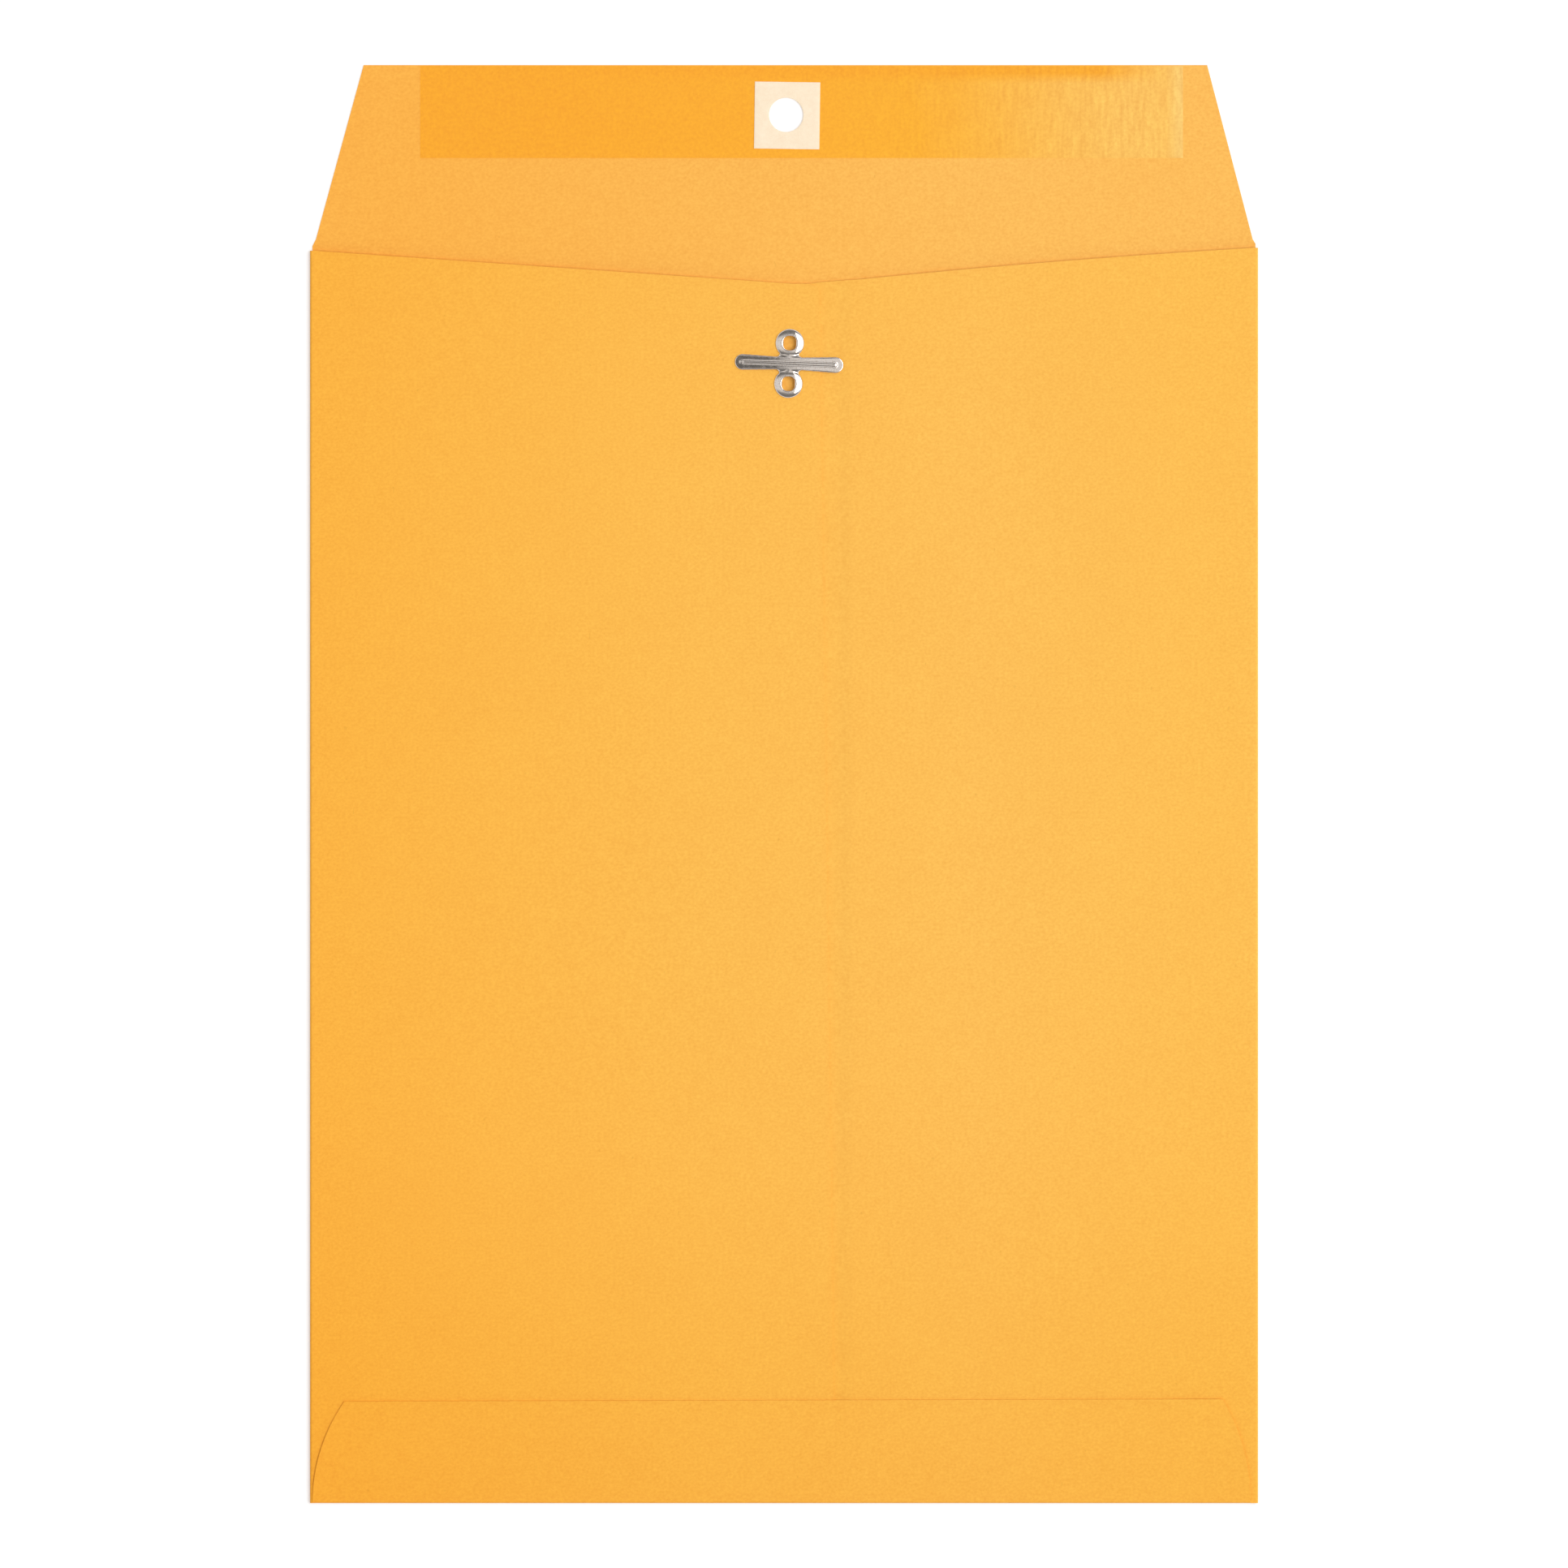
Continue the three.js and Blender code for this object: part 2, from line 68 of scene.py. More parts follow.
front_low, front_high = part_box("front_panel")
flap_low, flap_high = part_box("seal_flap")
left_fold_low, left_fold_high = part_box("left_side_fold")
right_fold_low, right_fold_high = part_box("right_side_fold")
bottom_fold_low, bottom_fold_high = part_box("bottom_fold")
left_panel_low, left_panel_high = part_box("left_back_panel")
right_panel_low, right_panel_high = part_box("right_back_panel")
bottom_flap_low, bottom_flap_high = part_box("bottom_flap")
gum_low, gum_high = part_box("gum_strip")
patch_low, patch_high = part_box("hole_patch")
clasp_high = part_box("clasp_base")[1]

CREASE_Y = flap_low.y
EDGE_Y = flap_high.y
BOTTOM_Y = bottom_fold_low.y
LEFT_X = left_fold_low.x
RIGHT_X = right_fold_high.x
PAPER = front_high.z - front_low.z
FRONT_Z = (front_low.z + front_high.z) / 2
BACK_Z = left_panel_high.z - PAPER / 2
CUTTER_DEPTH = 8 * PAPER


def as_seen(red, green, blue):
    """Linear values of a colour that is given as it looks on a screen, from 0 to 255."""
    levels = [level / 255 for level in (red, green, blue)]
    return tuple(
        level / 12.92 if level <= 0.04045 else ((level + 0.055) / 1.055) ** 2.4
        for level in levels
    )


# Settings that a user would change
def length(name, description, default):
    return bpy.props.FloatProperty(
        name=name, description=description, default=default, unit="LENGTH", precision=5
    )


def turn(name, description, default):
    return bpy.props.FloatProperty(
        name=name,
        description=description,
        default=math.radians(default),
        subtype="ANGLE",
    )


def share(name, description, default):
    return bpy.props.FloatProperty(
        name=name, description=description, default=default, min=0, max=1, subtype="FACTOR"
    )


def number(name, description, default):
    return bpy.props.FloatProperty(name=name, description=description, default=default, min=0)


def colour(name, description, default):
    return bpy.props.FloatVectorProperty(
        name=name,
        description=description,
        default=default,
        min=0,
        max=1,
        size=3,
        subtype="COLOR",
    )


class PaperSettings(bpy.types.PropertyGroup):
    flap_left_taper: length(
        "Left taper", "How far the flap's left end runs in at its edge", 11.5 * MM
    )
    flap_right_taper: length(
        "Right taper", "How far the flap's right end runs in at its edge", 11.0 * MM
    )
    crease_run: length("Crease", "Length of sheet that bends at the flap's crease", 2.1 * MM)
    hole_x: length("Hole across", "Place of the flap's hole across the envelope", 0.5 * MM)
    hole_from_edge: length("Hole from edge", "Hole's middle below the flap's edge", 12.0 * MM)
    hole_radius: length("Hole radius", "Radius of the flap's hole", 4.15 * MM)
    throat_left: length("Throat left", "Left end of the throat's lowest stretch", 2.3 * MM)
    throat_right: length("Throat right", "Right end of the throat's lowest stretch", 5.9 * MM)
    throat_depth: length("Throat depth", "Lowest point of the throat below the crease", 10.8 * MM)
    throat_rise: length("Throat rise", "Rise of the right panel's edge up to the seam", 0.4 * MM)
    shoulder_x: length("Shoulder", "Place where the right panel's edge grows steeper", 18.3 * MM)
    shoulder_rise: length("Shoulder rise", "Rise of the edge up to that place", 1.07 * MM)
    seam_top: length("Seam top", "Place of the seam across the envelope, at its top", 8.6 * MM)
    seam_corner: length("Seam corner", "Drop of the left panel's cut corner", 0.75 * MM)
    throat_bulge: length("Throat bulge", "Rise of the right panel's curved top edge", 1.0 * MM)
    tuck_clearance: length("Tuck clearance", "From the seam to the foot of the step", 0.3 * MM)
    tuck_run: length("Tuck run", "Width of the step where the right panel dips", 4.0 * MM)
    bottom_left_radius: length("Left curve", "Radius of the bottom flap's left end", 43.0 * MM)
    bottom_right_radius: length("Right curve", "Radius of the bottom flap's right end", 50.0 * MM)
    bottom_left_height: length("Left height", "Bottom flap's height at its left", 24.5 * MM)
    bottom_right_height: length("Right height", "Bottom flap's height at its right", 25.1 * MM)
    edge_lift: length("Edge lift", "Lift of the bottom flap's loose edge", 0.14 * MM)
    corner_lift: length("Corner lift", "Further lift near its right end", 0.3 * MM)
    rise: length("Rise", "How far the front panel rises under the clasp", 0.32 * MM)
    slack: length("Slack", "How far the back panels wave up and down", 0.5 * MM)
    slack_size: length("Slack size", "Width of one wave of the back panels", 70.0 * MM)
    # Painted light: the left, middle, right and edge colours make the kraft deeper at the left and
    # paler at the right, standing in for a lamp on the right.
    left_colour: colour("Left", "Kraft paper at the left", as_seen(253, 178, 63))
    middle_colour: colour("Middle", "Kraft paper in the middle", as_seen(253, 186, 79))
    right_colour: colour("Right", "Kraft paper right of the middle", as_seen(253, 188, 85))
    edge_colour: colour("Edge", "Kraft paper at the right edge", as_seen(253, 188, 81))
    # Painted light: the inside colours are deeper at the left and paler at the right, standing in
    # for a lamp on the right.
    inside_left_colour: colour("Inside left", "Sheet's inside, left", as_seen(253, 177, 72))
    inside_right_colour: colour("Inside right", "Sheet's inside, right", as_seen(253, 186, 88))
    roughness: share("Roughness", "Roughness of the kraft paper", 0.85)


class FilmSettings(bpy.types.PropertyGroup):
    # Painted light in the gum colours: the left colour is the thick, deep orange gum under painted
    # shade, and the paler right and end colours are a painted reflection of the lamp on the gum's
    # gloss.
    gum_left_colour: colour("Gum left", "Gum where it is thick", as_seen(252, 167, 31))
    gum_middle_colour: colour("Gum middle", "Gum in the middle", as_seen(253, 174, 36))
    gum_right_colour: colour("Gum right", "Gum where it is thin", as_seen(253, 190, 87))
    gum_end_sheen_colour: colour("Gum end", "Gum's dried right end", as_seen(252, 198, 104))
    gum_ripple: length("Gum ripple", "Width of one ripple of the gum", 0.9 * MM)
    gum_roughness: share("Gum roughness", "Roughness of the dried gum", 0.38)
    patch_turn: turn("Patch turn", "Turn of the patch on the flap", -0.8)
    patch_width: length("Patch width", "Width of the reinforcing patch", 15.75 * MM)
    patch_height: length("Patch height", "Height of the reinforcing patch", 16.15 * MM)
    patch_edge: length("Patch edge", "Rounding of the patch's edge", 0.05 * MM)
    patch_colour: colour("Patch", "Cream reinforcing paper", as_seen(253, 232, 203))
    glue_colour: colour("Glue", "Dried glue between the sheets", as_seen(228, 205, 150))


class ClaspSettings(bpy.types.PropertyGroup):
    across: length("Across", "Place of the clasp across the envelope", 1.23 * MM)
    turned: turn("Turn", "Turn of the clasp on the envelope", -2.0)
    metal: length("Metal", "Thickness of the clasp's sheet", 0.22 * MM)
    reach: length("Reach", "From the clasp's middle to a prong's tip", 13.1 * MM)
    tip_width: length("Tip width", "Width of a prong at its tip", 3.85 * MM)
    root_width: length("Root width", "Width of a prong at the hub", 3.05 * MM)
    hub_width: length("Hub width", "Width of the hub between the two bends", 4.6 * MM)
    neck_width: length("Neck width", "Width of the neck that joins a ring", 4.5 * MM)
    ring_spacing: length("Ring spacing", "Between the middles of the rings", 9.8 * MM)
    ring_radius: length("Ring radius", "Outer radius of a ring", 3.5 * MM)
    dome_height: length("Dome height", "Height of the dome that a ring is cut from", 0.82 * MM)
    height: length("Height", "Height of the whole clasp over the paper", 0.85 * MM)
    bore_width: length("Bore width", "Width of a ring's squarish opening", 3.0 * MM)
    bore_height: length("Bore height", "Height of a ring's squarish opening", 3.4 * MM)
    rib_width: length("Rib width", "Width of the stiffening rib", 1.05 * MM)
    rib_height: length("Rib height", "Height of the stiffening rib", 0.26 * MM)
    crown: length("Crown", "How far the hub stands over the tips", 0.36 * MM)
    bend_run: length("Bend", "Length of a prong that bends at the hub", 0.8 * MM)
    mesh_size: length("Mesh size", "Size of a face of the stamping", 0.08 * MM)
    colour: colour("Tin", "Tinned steel", as_seen(232, 222, 213))
    roughness: share("Roughness", "Roughness of the tinned steel", 0.1)


class StageSettings(bpy.types.PropertyGroup):
    floor_colour: colour("Floor", "Plain pale floor", as_seen(218, 218, 218))
    floor_glow: number("Floor glow", "What the floor adds to its own light when seen", 0.36)
    key_strength: number("Key", "Power of the large lamp, in watts", 1300.0)
    room_light: number("Room", "Light of the room overhead", 0.12)
    panel_light: number("Panels", "What the walls and the panel overhead add to it", 0.9)
    panel_lean: number("Lean", "Turn of the panel overhead towards the flap", 0.1)
    photo_width: length("Photo width", "Width that the camera takes in", 378.2 * MM)
    lens: number("Lens", "Focal length in millimetres", 300.0)


# Modelling helpers
def edit_mode():
    bpy.ops.object.mode_set(mode="EDIT")


def object_mode():
    bpy.ops.object.mode_set(mode="OBJECT")


def deselect():
    if bpy.context.mode != "OBJECT":
        object_mode()
    bpy.ops.object.select_all(action="DESELECT")


def take(*pieces):
    """Select these pieces alone. The first one is the active one."""
    deselect()
    for piece in pieces:
        piece.select_set(True)
    bpy.context.view_layer.objects.active = pieces[0]


def settle(piece):
    """Put a piece's place, turn and scale into its mesh."""
    take(piece)
    bpy.ops.object.transform_apply(location=True, rotation=True, scale=True)


def named(name, piece):
    piece.name = name
    piece.data.name = name
    return piece


def primitive(kind, name, scale=(1, 1, 1), **values):
    deselect()
    getattr(bpy.ops.mesh, f"primitive_{kind}_add")(**values)
    piece = named(name, bpy.context.active_object)
    piece.scale = scale
    settle(piece)
    return piece


def sheet(name, low, high, z, columns, rows):
    """A flat sheet of grid cells between two corners."""
    return primitive(
        "grid",
        name,
        scale=(high[0] - low[0], high[1] - low[1], 1),
        x_subdivisions=columns,
        y_subdivisions=rows,
        size=1,
        location=((low[0] + high[0]) / 2, (low[1] + high[1]) / 2, z),
    )


def edit_faces(piece, chosen=None):
    """Go into edit mode with all faces selected, or those whose middle is chosen."""
    take(piece)
    edit_mode()
    bpy.ops.mesh.select_mode(type="FACE")
    bpy.ops.mesh.select_all(action="SELECT" if chosen is None else "DESELECT")
    if chosen is not None:
        object_mode()
        for face in piece.data.polygons:
            face.select = chosen(face.center)
        edit_mode()


def edit_points(piece, chosen):
    """Go into edit mode with the points that are chosen selected."""
    take(piece)
    edit_mode()
    bpy.ops.mesh.select_mode(type="VERT")
    bpy.ops.mesh.select_all(action="DESELECT")
    object_mode()
    for point in piece.data.vertices:
        point.select = chosen(point.co)
    edit_mode()


def trim(piece, start, end, chosen=None):
    """Cut along the line from start to end, and drop the faces that lie to its right."""
    edit_faces(piece, chosen)
    origin = Vector((start[0], start[1], 0))
    rightward = Vector((end[1] - start[1], start[0] - end[0], 0)).normalized()
    bpy.ops.mesh.bisect(plane_co=origin, plane_no=rightward, threshold=CUT_TOLERANCE)
    object_mode()

    def dropped(place):
        beyond = (place - origin).dot(rightward) > CUT_TOLERANCE
        return beyond and (chosen is None or chosen(place))

    edit_faces(piece, dropped)
    bpy.ops.mesh.delete(type="FACE")
    object_mode()


def score(piece, place, across):
    """Add a line of points at a place, across the sheet or up it, and drop nothing."""
    edit_faces(piece)
    bpy.ops.mesh.bisect(
        plane_co=(0, place, 0) if across else (place, 0, 0),
        plane_no=(0, 1, 0) if across else (1, 0, 0),
        threshold=CUT_TOLERANCE,
    )
    object_mode()


def trim_top(piece, points):
    """Trim a sheet's top edge through points that run from right to left."""
    for point in points:
        score(piece, point[0], across=False)
    for start, end in zip(points, points[1:]):
        trim(piece, start, end, lambda place, low=end[0], high=start[0]: low < place.x < high)


def trim_arc(piece, centre, radius, first, last, steps, chosen=None):
    """Trim round an arc that runs anticlockwise, angles in radians."""
    angles = [first + (last - first) * step / steps for step in range(steps + 1)]
    points = [
        (centre[0] + radius * math.cos(angle), centre[1] + radius * math.sin(angle))
        for angle in angles
    ]
    for start, end in zip(points, points[1:]):
        trim(piece, start, end, chosen)


def spin_edge(piece, chosen, centre, axis, angle, steps):
    """Turn an edge of the sheet round a fold, and leave paper behind it."""
    edit_points(piece, chosen)
    bpy.ops.mesh.spin(steps=steps, angle=angle, center=centre, axis=axis)
    bpy.ops.mesh.select_all(action="SELECT")
    bpy.ops.mesh.remove_doubles(threshold=CUT_TOLERANCE)
    bpy.ops.mesh.normals_make_consistent(inside=False)
    object_mode()


def apply_modifier(piece, kind, **values):
    take(piece)
    modifier = piece.modifiers.new(kind.title(), kind)
    for name, value in values.items():
        setattr(modifier, name, value)
    bpy.ops.object.modifier_apply(modifier=modifier.name)


def push(piece, name, distance, amount, direction="Z", cloud=None):
    """Move points by a distance, each as far as the amount at its place says."""
    group = piece.vertex_groups.new(name=name)
    for point in piece.data.vertices:
        weight = amount(point.co)
        if weight > 0:
            group.add([point.index], min(1, weight), "REPLACE")
    apply_modifier(
        piece,
        "DISPLACE",
        direction=direction,
        strength=distance,
        vertex_group=name,
        mid_level=0.5 if cloud else 0.0,
        texture=cloud,
        texture_coords="LOCAL",
    )
    piece.vertex_groups.remove(piece.vertex_groups[name])


def thicken(piece, thickness, offset=0.0):
    apply_modifier(
        piece, "SOLIDIFY", thickness=thickness, offset=offset, use_even_offset=True
    )


def pierce(piece, *cutters):
    """Cut holes with the cutters, and throw the cutters away."""
    for cutter in cutters:
        apply_modifier(piece, "BOOLEAN", operation="DIFFERENCE", object=cutter, solver="EXACT")
        bpy.data.objects.remove(cutter)


def round_cutter(x, y, z, radius, steps=96):
    """A round cutter that passes through a sheet at this height."""
    return primitive(
        "cylinder",
        "cutter",
        vertices=steps,
        radius=radius,
        depth=CUTTER_DEPTH,
        location=(x, y, z),
    )


def smooth(piece, degrees=35):
    take(piece)
    bpy.ops.object.shade_smooth_by_angle(angle=math.radians(degrees))


def join(name, *pieces):
    take(*pieces)
    bpy.ops.object.join()
    return named(name, pieces[0])


def copied(name, piece):
    take(piece)
    bpy.ops.object.duplicate()
    return named(name, bpy.context.active_object)


def ease(value, low, high):
    """Rise smoothly from 0 at low to 1 at high."""
    part = min(1, max(0, (value - low) / (high - low)))
    return part * part * (3 - 2 * part)


def curve(start, pull, end, steps):
    """Points of a smooth curve from start to end that bends towards pull."""
    points = []
    for step in range(steps + 1):
        part = step / steps
        points.append((1 - part) ** 2 * start + 2 * part * (1 - part) * pull + part**2 * end)
    return points


def dress(piece, finish):
    piece.data.materials.clear()
    piece.data.materials.append(finish)


# Places on the envelope that several pieces share
def flap_hole(paper):
    return paper.hole_x, EDGE_Y - paper.hole_from_edge


def clasp_centre(paper, clasp):
    return clasp.across, CREASE_Y - (EDGE_Y - paper.hole_from_edge - CREASE_Y)


def eyelets(paper, clasp):
    x, y = clasp_centre(paper, clasp)
    half = clasp.ring_spacing / 2
    return [
        (x - side * half * math.sin(clasp.turned), y + side * half * math.cos(clasp.turned))
        for side in (1, -1)
    ]


def slack_amount(place):
    """How free the back paper is: held at its folds, along the seam and near the bottom flap."""
    from_fold = min(place.x - LEFT_X, RIGHT_X - place.x)
    from_seam = abs(place.x - left_panel_high.x / 2)
    from_flap = place.y - bottom_flap_high.y
    free = 1
    for distance, held_to, free_from in (
        (from_fold, 2 * MM, 35 * MM),
        (from_seam, 18 * MM, 50 * MM),
        (from_flap, 3 * MM, 45 * MM),
    ):
        free *= ease(distance, held_to, free_from)
    return free


def slack_cloud(paper):
    cloud = bpy.data.textures.new("slack", "CLOUDS")
    cloud.noise_scale = paper.slack_size
    cloud.noise_depth = 1
    return cloud


# Finishes
class Nodes:
    """A node tree that is put together node by node."""

    def __init__(self, tree):
        self.tree = tree
        tree.nodes.clear()

    def add(self, kind):
        return self.tree.nodes.new("ShaderNode" + kind)

    def join(self, outlet, inlet):
        self.tree.links.new(outlet, inlet)

    def feed(self, inlet, value):
        """Set a plain number or colour on an inlet, or link an outlet to it."""
        if isinstance(value, float):
            inlet.default_value = value
        elif isinstance(value, tuple):
            inlet.default_value = (*value, 1)
        else:
            self.join(value, inlet)

    def math(self, kind, *values):
        step = self.add("Math")
        step.operation = kind
        for inlet, value in zip(step.inputs, values):
            self.feed(inlet, value)
        return step.outputs["Value"]

    def part(self, vector, axis):
        parts = self.add("SeparateXYZ")
        self.join(vector, parts.inputs["Vector"])
        return parts.outputs[axis]

    def spread(self, value, low, high, first=0.0, last=1.0, kind="LINEAR"):
        """A value that goes from first to last while another goes from low to high."""
        node = self.add("MapRange")
        node.interpolation_type = kind
        ends = {"From Min": low, "From Max": high, "To Min": first, "To Max": last}
        for name, end in ends.items():
            node.inputs[name].default_value = end
        self.join(value, node.inputs["Value"])
        return node.outputs["Result"]


class Finish(Nodes):
    """A material with patterns on the object's own place."""

    def __init__(self, name, roughness, metallic=0.0, specular=0.5):
        self.material = bpy.data.materials.new(name)
        self.material.use_nodes = True
        super().__init__(self.material.node_tree)
        self.shader = self.add("BsdfPrincipled")
        self.shader.inputs["Roughness"].default_value = roughness
        self.shader.inputs["Metallic"].default_value = metallic
        self.shader.inputs["Specular IOR Level"].default_value = specular
        self.join(self.shader.outputs["BSDF"], self.add("OutputMaterial").inputs["Surface"])
        self.place = self.add("TexCoord").outputs["Object"]

    def stretched(self, x, y, z):
        """The object's place, stretched, for patterns that run one way."""
        mapping = self.add("Mapping")
        mapping.inputs["Scale"].default_value = (x, y, z)
        self.join(self.place, mapping.inputs["Vector"])
        return mapping.outputs["Vector"]

    def along(self, axis, low, high):
        """A value that goes from 0 at low to 1 at high along an axis."""
        return self.spread(self.part(self.place, axis), low, high)

    def noise(self, size, detail=2.0, rough=0.5, vector=None):
        """Soft noise whose blots are about this size."""
        pattern = self.add("TexNoise")
        pattern.inputs["Scale"].default_value = 1 / size
        pattern.inputs["Detail"].default_value = detail
        pattern.inputs["Roughness"].default_value = rough
        self.join(vector or self.place, pattern.inputs["Vector"])
        return pattern.outputs["Fac"]

    def ramp(self, value, *stops):
        """Colours along a value, each with the place where it holds."""
        ramp = self.add("ValToRGB")
        elements = ramp.color_ramp.elements
        while len(elements) < len(stops):
            elements.new(0.5)
        for element, (place, shade) in zip(elements, stops):
            element.position = place
            element.color = (*shade, 1)
        self.join(value, ramp.inputs["Fac"])
        return ramp.outputs["Color"]

    def levels(self, value, low, high, dark, light):
        """Grey levels along a value, for a share or a shade."""
        return self.ramp(value, (low, (dark,) * 3), (high, (light,) * 3))

    def mix(self, kind, amount, first, second):
        """Mix two colours. Each of the three may be a plain value."""
        mixer = self.add("Mix")
        mixer.data_type = "RGBA"
        mixer.blend_type = kind
        for place, value in ((0, amount), (6, first), (7, second)):
            self.feed(mixer.inputs[place], value)
        return mixer.outputs[2]

    def shade(self, tone, pattern, depth):
        """Darken and lighten a tone by up to this share where the pattern is low and high."""
        dark = tuple(1 - depth * part for part in (0.55, 1.0, 1.5))
        light = tuple(1 + depth * part for part in (0.2, 1.0, 1.5))
        return self.mix("MULTIPLY", 1.0, tone, self.ramp(pattern, (0.25, dark), (0.75, light)))

    def bump(self, height, depth, strength=1.0):
        relief = self.add("Bump")
        relief.inputs["Strength"].default_value = strength
        relief.inputs["Distance"].default_value = depth
        self.join(height, relief.inputs["Height"])
        self.join(relief.outputs["Normal"], self.shader.inputs["Normal"])

    def colour(self, outlet):
        self.join(outlet, self.shader.inputs["Base Color"])


def paper_grain(finish, tone):
    """Cloudy pulp, short fibres and dark flecks over a tone, and the tooth of the paper."""
    cloud = finish.noise(28 * MM, 3.0, 0.55)
    tone = finish.shade(tone, cloud, 0.015)
    pulp = finish.noise(2.2 * MM, 3.0, 0.6)
    tone = finish.shade(tone, pulp, 0.026)
    fibre = finish.noise(0.6 * MM, 2.0, 0.6, finish.stretched(0.8, 1.0, 1.0))
    tone = finish.shade(tone, fibre, 0.1)
    speck = finish.noise(0.8 * MM, 1.0, 0.5, finish.stretched(1.0, 0.5, 1.0))
    speck_share = finish.levels(speck, 0.76, 0.82, 0.0, 0.2)
    tone = finish.mix("MULTIPLY", speck_share, tone, as_seen(214, 190, 160))
    finish.bump(finish.math("ADD", fibre, pulp), 0.012 * MM, 0.5)
    return tone


def kraft_outside(paper):
    """Golden kraft paper with painted light: darker at the left and the bottom, paler at the right,
    as light from a lamp at the upper right falls off.
    """
    finish = Finish("kraft_paper", paper.roughness, specular=0.2)
    across = finish.along("X", LEFT_X, RIGHT_X)
    # Painted light across the sheet: painted shade at the left, paler lit paper towards the right.
    tone = finish.ramp(
        across,
        (0.0, paper.left_colour),
        (0.42, paper.middle_colour),
        (0.7, paper.right_colour),
        (0.95, paper.edge_colour),
    )
    upward = finish.along("Y", BOTTOM_Y, CREASE_Y)
    # Painted shade: darker towards the bottom, where the lamp's light falls off, and a little
    # towards the top near the throat.
    painted_falloff = finish.ramp(
        upward,
        (0.0, (0.975, 0.885, 0.655)),
        (0.1, (0.985, 0.925, 0.735)),
        (0.28, (1.0, 0.976, 0.935)),
        (0.45, (1.0, 1.0, 1.0)),
        (0.8, (1.0, 1.0, 1.0)),
        (0.95, (1.0, 0.985, 0.945)),
    )
    tone = finish.mix("MULTIPLY", 1.0, tone, painted_falloff)
    finish.colour(paper_grain(finish, tone))
    return finish.material


def kraft_inside(paper):
    """The inside of the same sheet, a little paler, as on the open flap and in the throat."""
    finish = Finish("kraft_paper_inside", paper.roughness, specular=0.2)
    across = finish.along("X", LEFT_X, RIGHT_X)
    # Painted light: the ramp makes the inside deeper at the left and paler at the right, for a lamp
    # on the right.
    tone = finish.ramp(across, (0.1, paper.inside_left_colour), (0.7, paper.inside_right_colour))
    finish.colour(paper_grain(finish, tone))
    return finish.material


def dried_gum(films):
    """Remoistening gum: deep at the left under painted shade, rippled, and paled towards its right
    end by a painted reflection of the lamp on its gloss.
    """
    finish = Finish("dried_gum", films.gum_roughness, specular=0.35)
    across = finish.along("X", gum_low.x, gum_high.x)
    drift = finish.noise(30 * MM, 2.0)
    across = finish.math("ADD", across, finish.math("MULTIPLY", drift, 0.12))
    thick = tuple(films.gum_left_colour)
    # Painted light along the gum: painted shade at the left, and a painted reflection of the lamp's
    # sheen towards the right.
    tone = finish.ramp(
        across, (0.2, thick), (0.72, films.gum_middle_colour), (0.98, films.gum_right_colour)
    )
    edge = finish.along("Y", gum_high.y - 4.2 * MM, gum_high.y - 1.7 * MM)
    fade = finish.along("X", gum_high.x - 4 * MM, gum_high.x - 20 * MM)
    tone = finish.mix("MIX", finish.math("MULTIPLY", edge, fade), tone, thick)
    # Painted reflection: the lamp's sheen on the gloss pales the gum's right end.
    end = finish.along("X", gum_high.x - 4 * MM, gum_high.x - 1 * MM)
    tone = finish.mix("MIX", end, tone, tuple(films.gum_end_sheen_colour))
    ripple = finish.noise(films.gum_ripple, 2.0, 0.5, finish.stretched(1.0, 0.16, 1.0))
    rippled = finish.shade(tone, ripple, 0.14)
    tone = finish.mix("MIX", finish.levels(across, 0.55, 0.95, 0.05, 0.8), tone, rippled)
    grain = finish.noise(0.75 * MM, 2.0, 0.6)
    tone = finish.shade(tone, grain, 0.1)
    finish.bump(finish.math("ADD", ripple, finish.math("MULTIPLY", grain, 0.2)), 0.02 * MM, 0.5)
    finish.colour(tone)
    return finish.material


def cream_patch(films):
    """Cream reinforcing paper with a soft mottle."""
    finish = Finish("patch_paper", 0.75, specular=0.25)
    fibre = finish.noise(0.6 * MM, 2.0, 0.6)
    tone = tuple(films.patch_colour)
    tone = finish.shade(tone, finish.noise(2 * MM, 3.0, 0.6), 0.03)
    tone = finish.shade(tone, fibre, 0.03)
    finish.bump(fibre, 0.01 * MM, 0.5)
    finish.colour(tone)
    return finish.material


def dried_glue(films):
    """Dried glue, amber and uneven, between the lapped sheets."""
    finish = Finish("dried_glue", 0.5)
    streak = finish.noise(1.5 * MM, 2.0, 0.5, finish.stretched(1.0, 0.3, 1.0))
    plain = tuple(films.glue_colour)
    deep = tuple(level * 0.8 for level in plain)
    finish.colour(finish.ramp(streak, (0.3, deep), (0.7, plain)))
    finish.bump(streak, 0.01 * MM, 0.5)
    return finish.material


def tinned_steel(clasp):
    """Tinned steel, unevenly bright, with dull brown specks in its surface."""
    finish = Finish("tinned_steel", clasp.roughness, metallic=1.0)
    plain = tuple(clasp.colour)
    speck = finish.noise(0.35 * MM, 2.0, 0.6)
    dull = tuple(level * part for level, part in zip(plain, (0.84, 0.8, 0.76)))
    tone = finish.ramp(speck, (0.32, dull), (0.5, plain))
    finish.colour(tone)
    haze = finish.noise(0.9 * MM, 2.0, 0.5)
    rough = finish.levels(haze, 0.3, 0.7, clasp.roughness - 0.04, clasp.roughness + 0.06)
    finish.join(rough, finish.shader.inputs["Roughness"])
    finish.bump(finish.noise(0.5 * MM, 3.0, 0.6), 0.002 * MM, 0.5)
    return finish.material


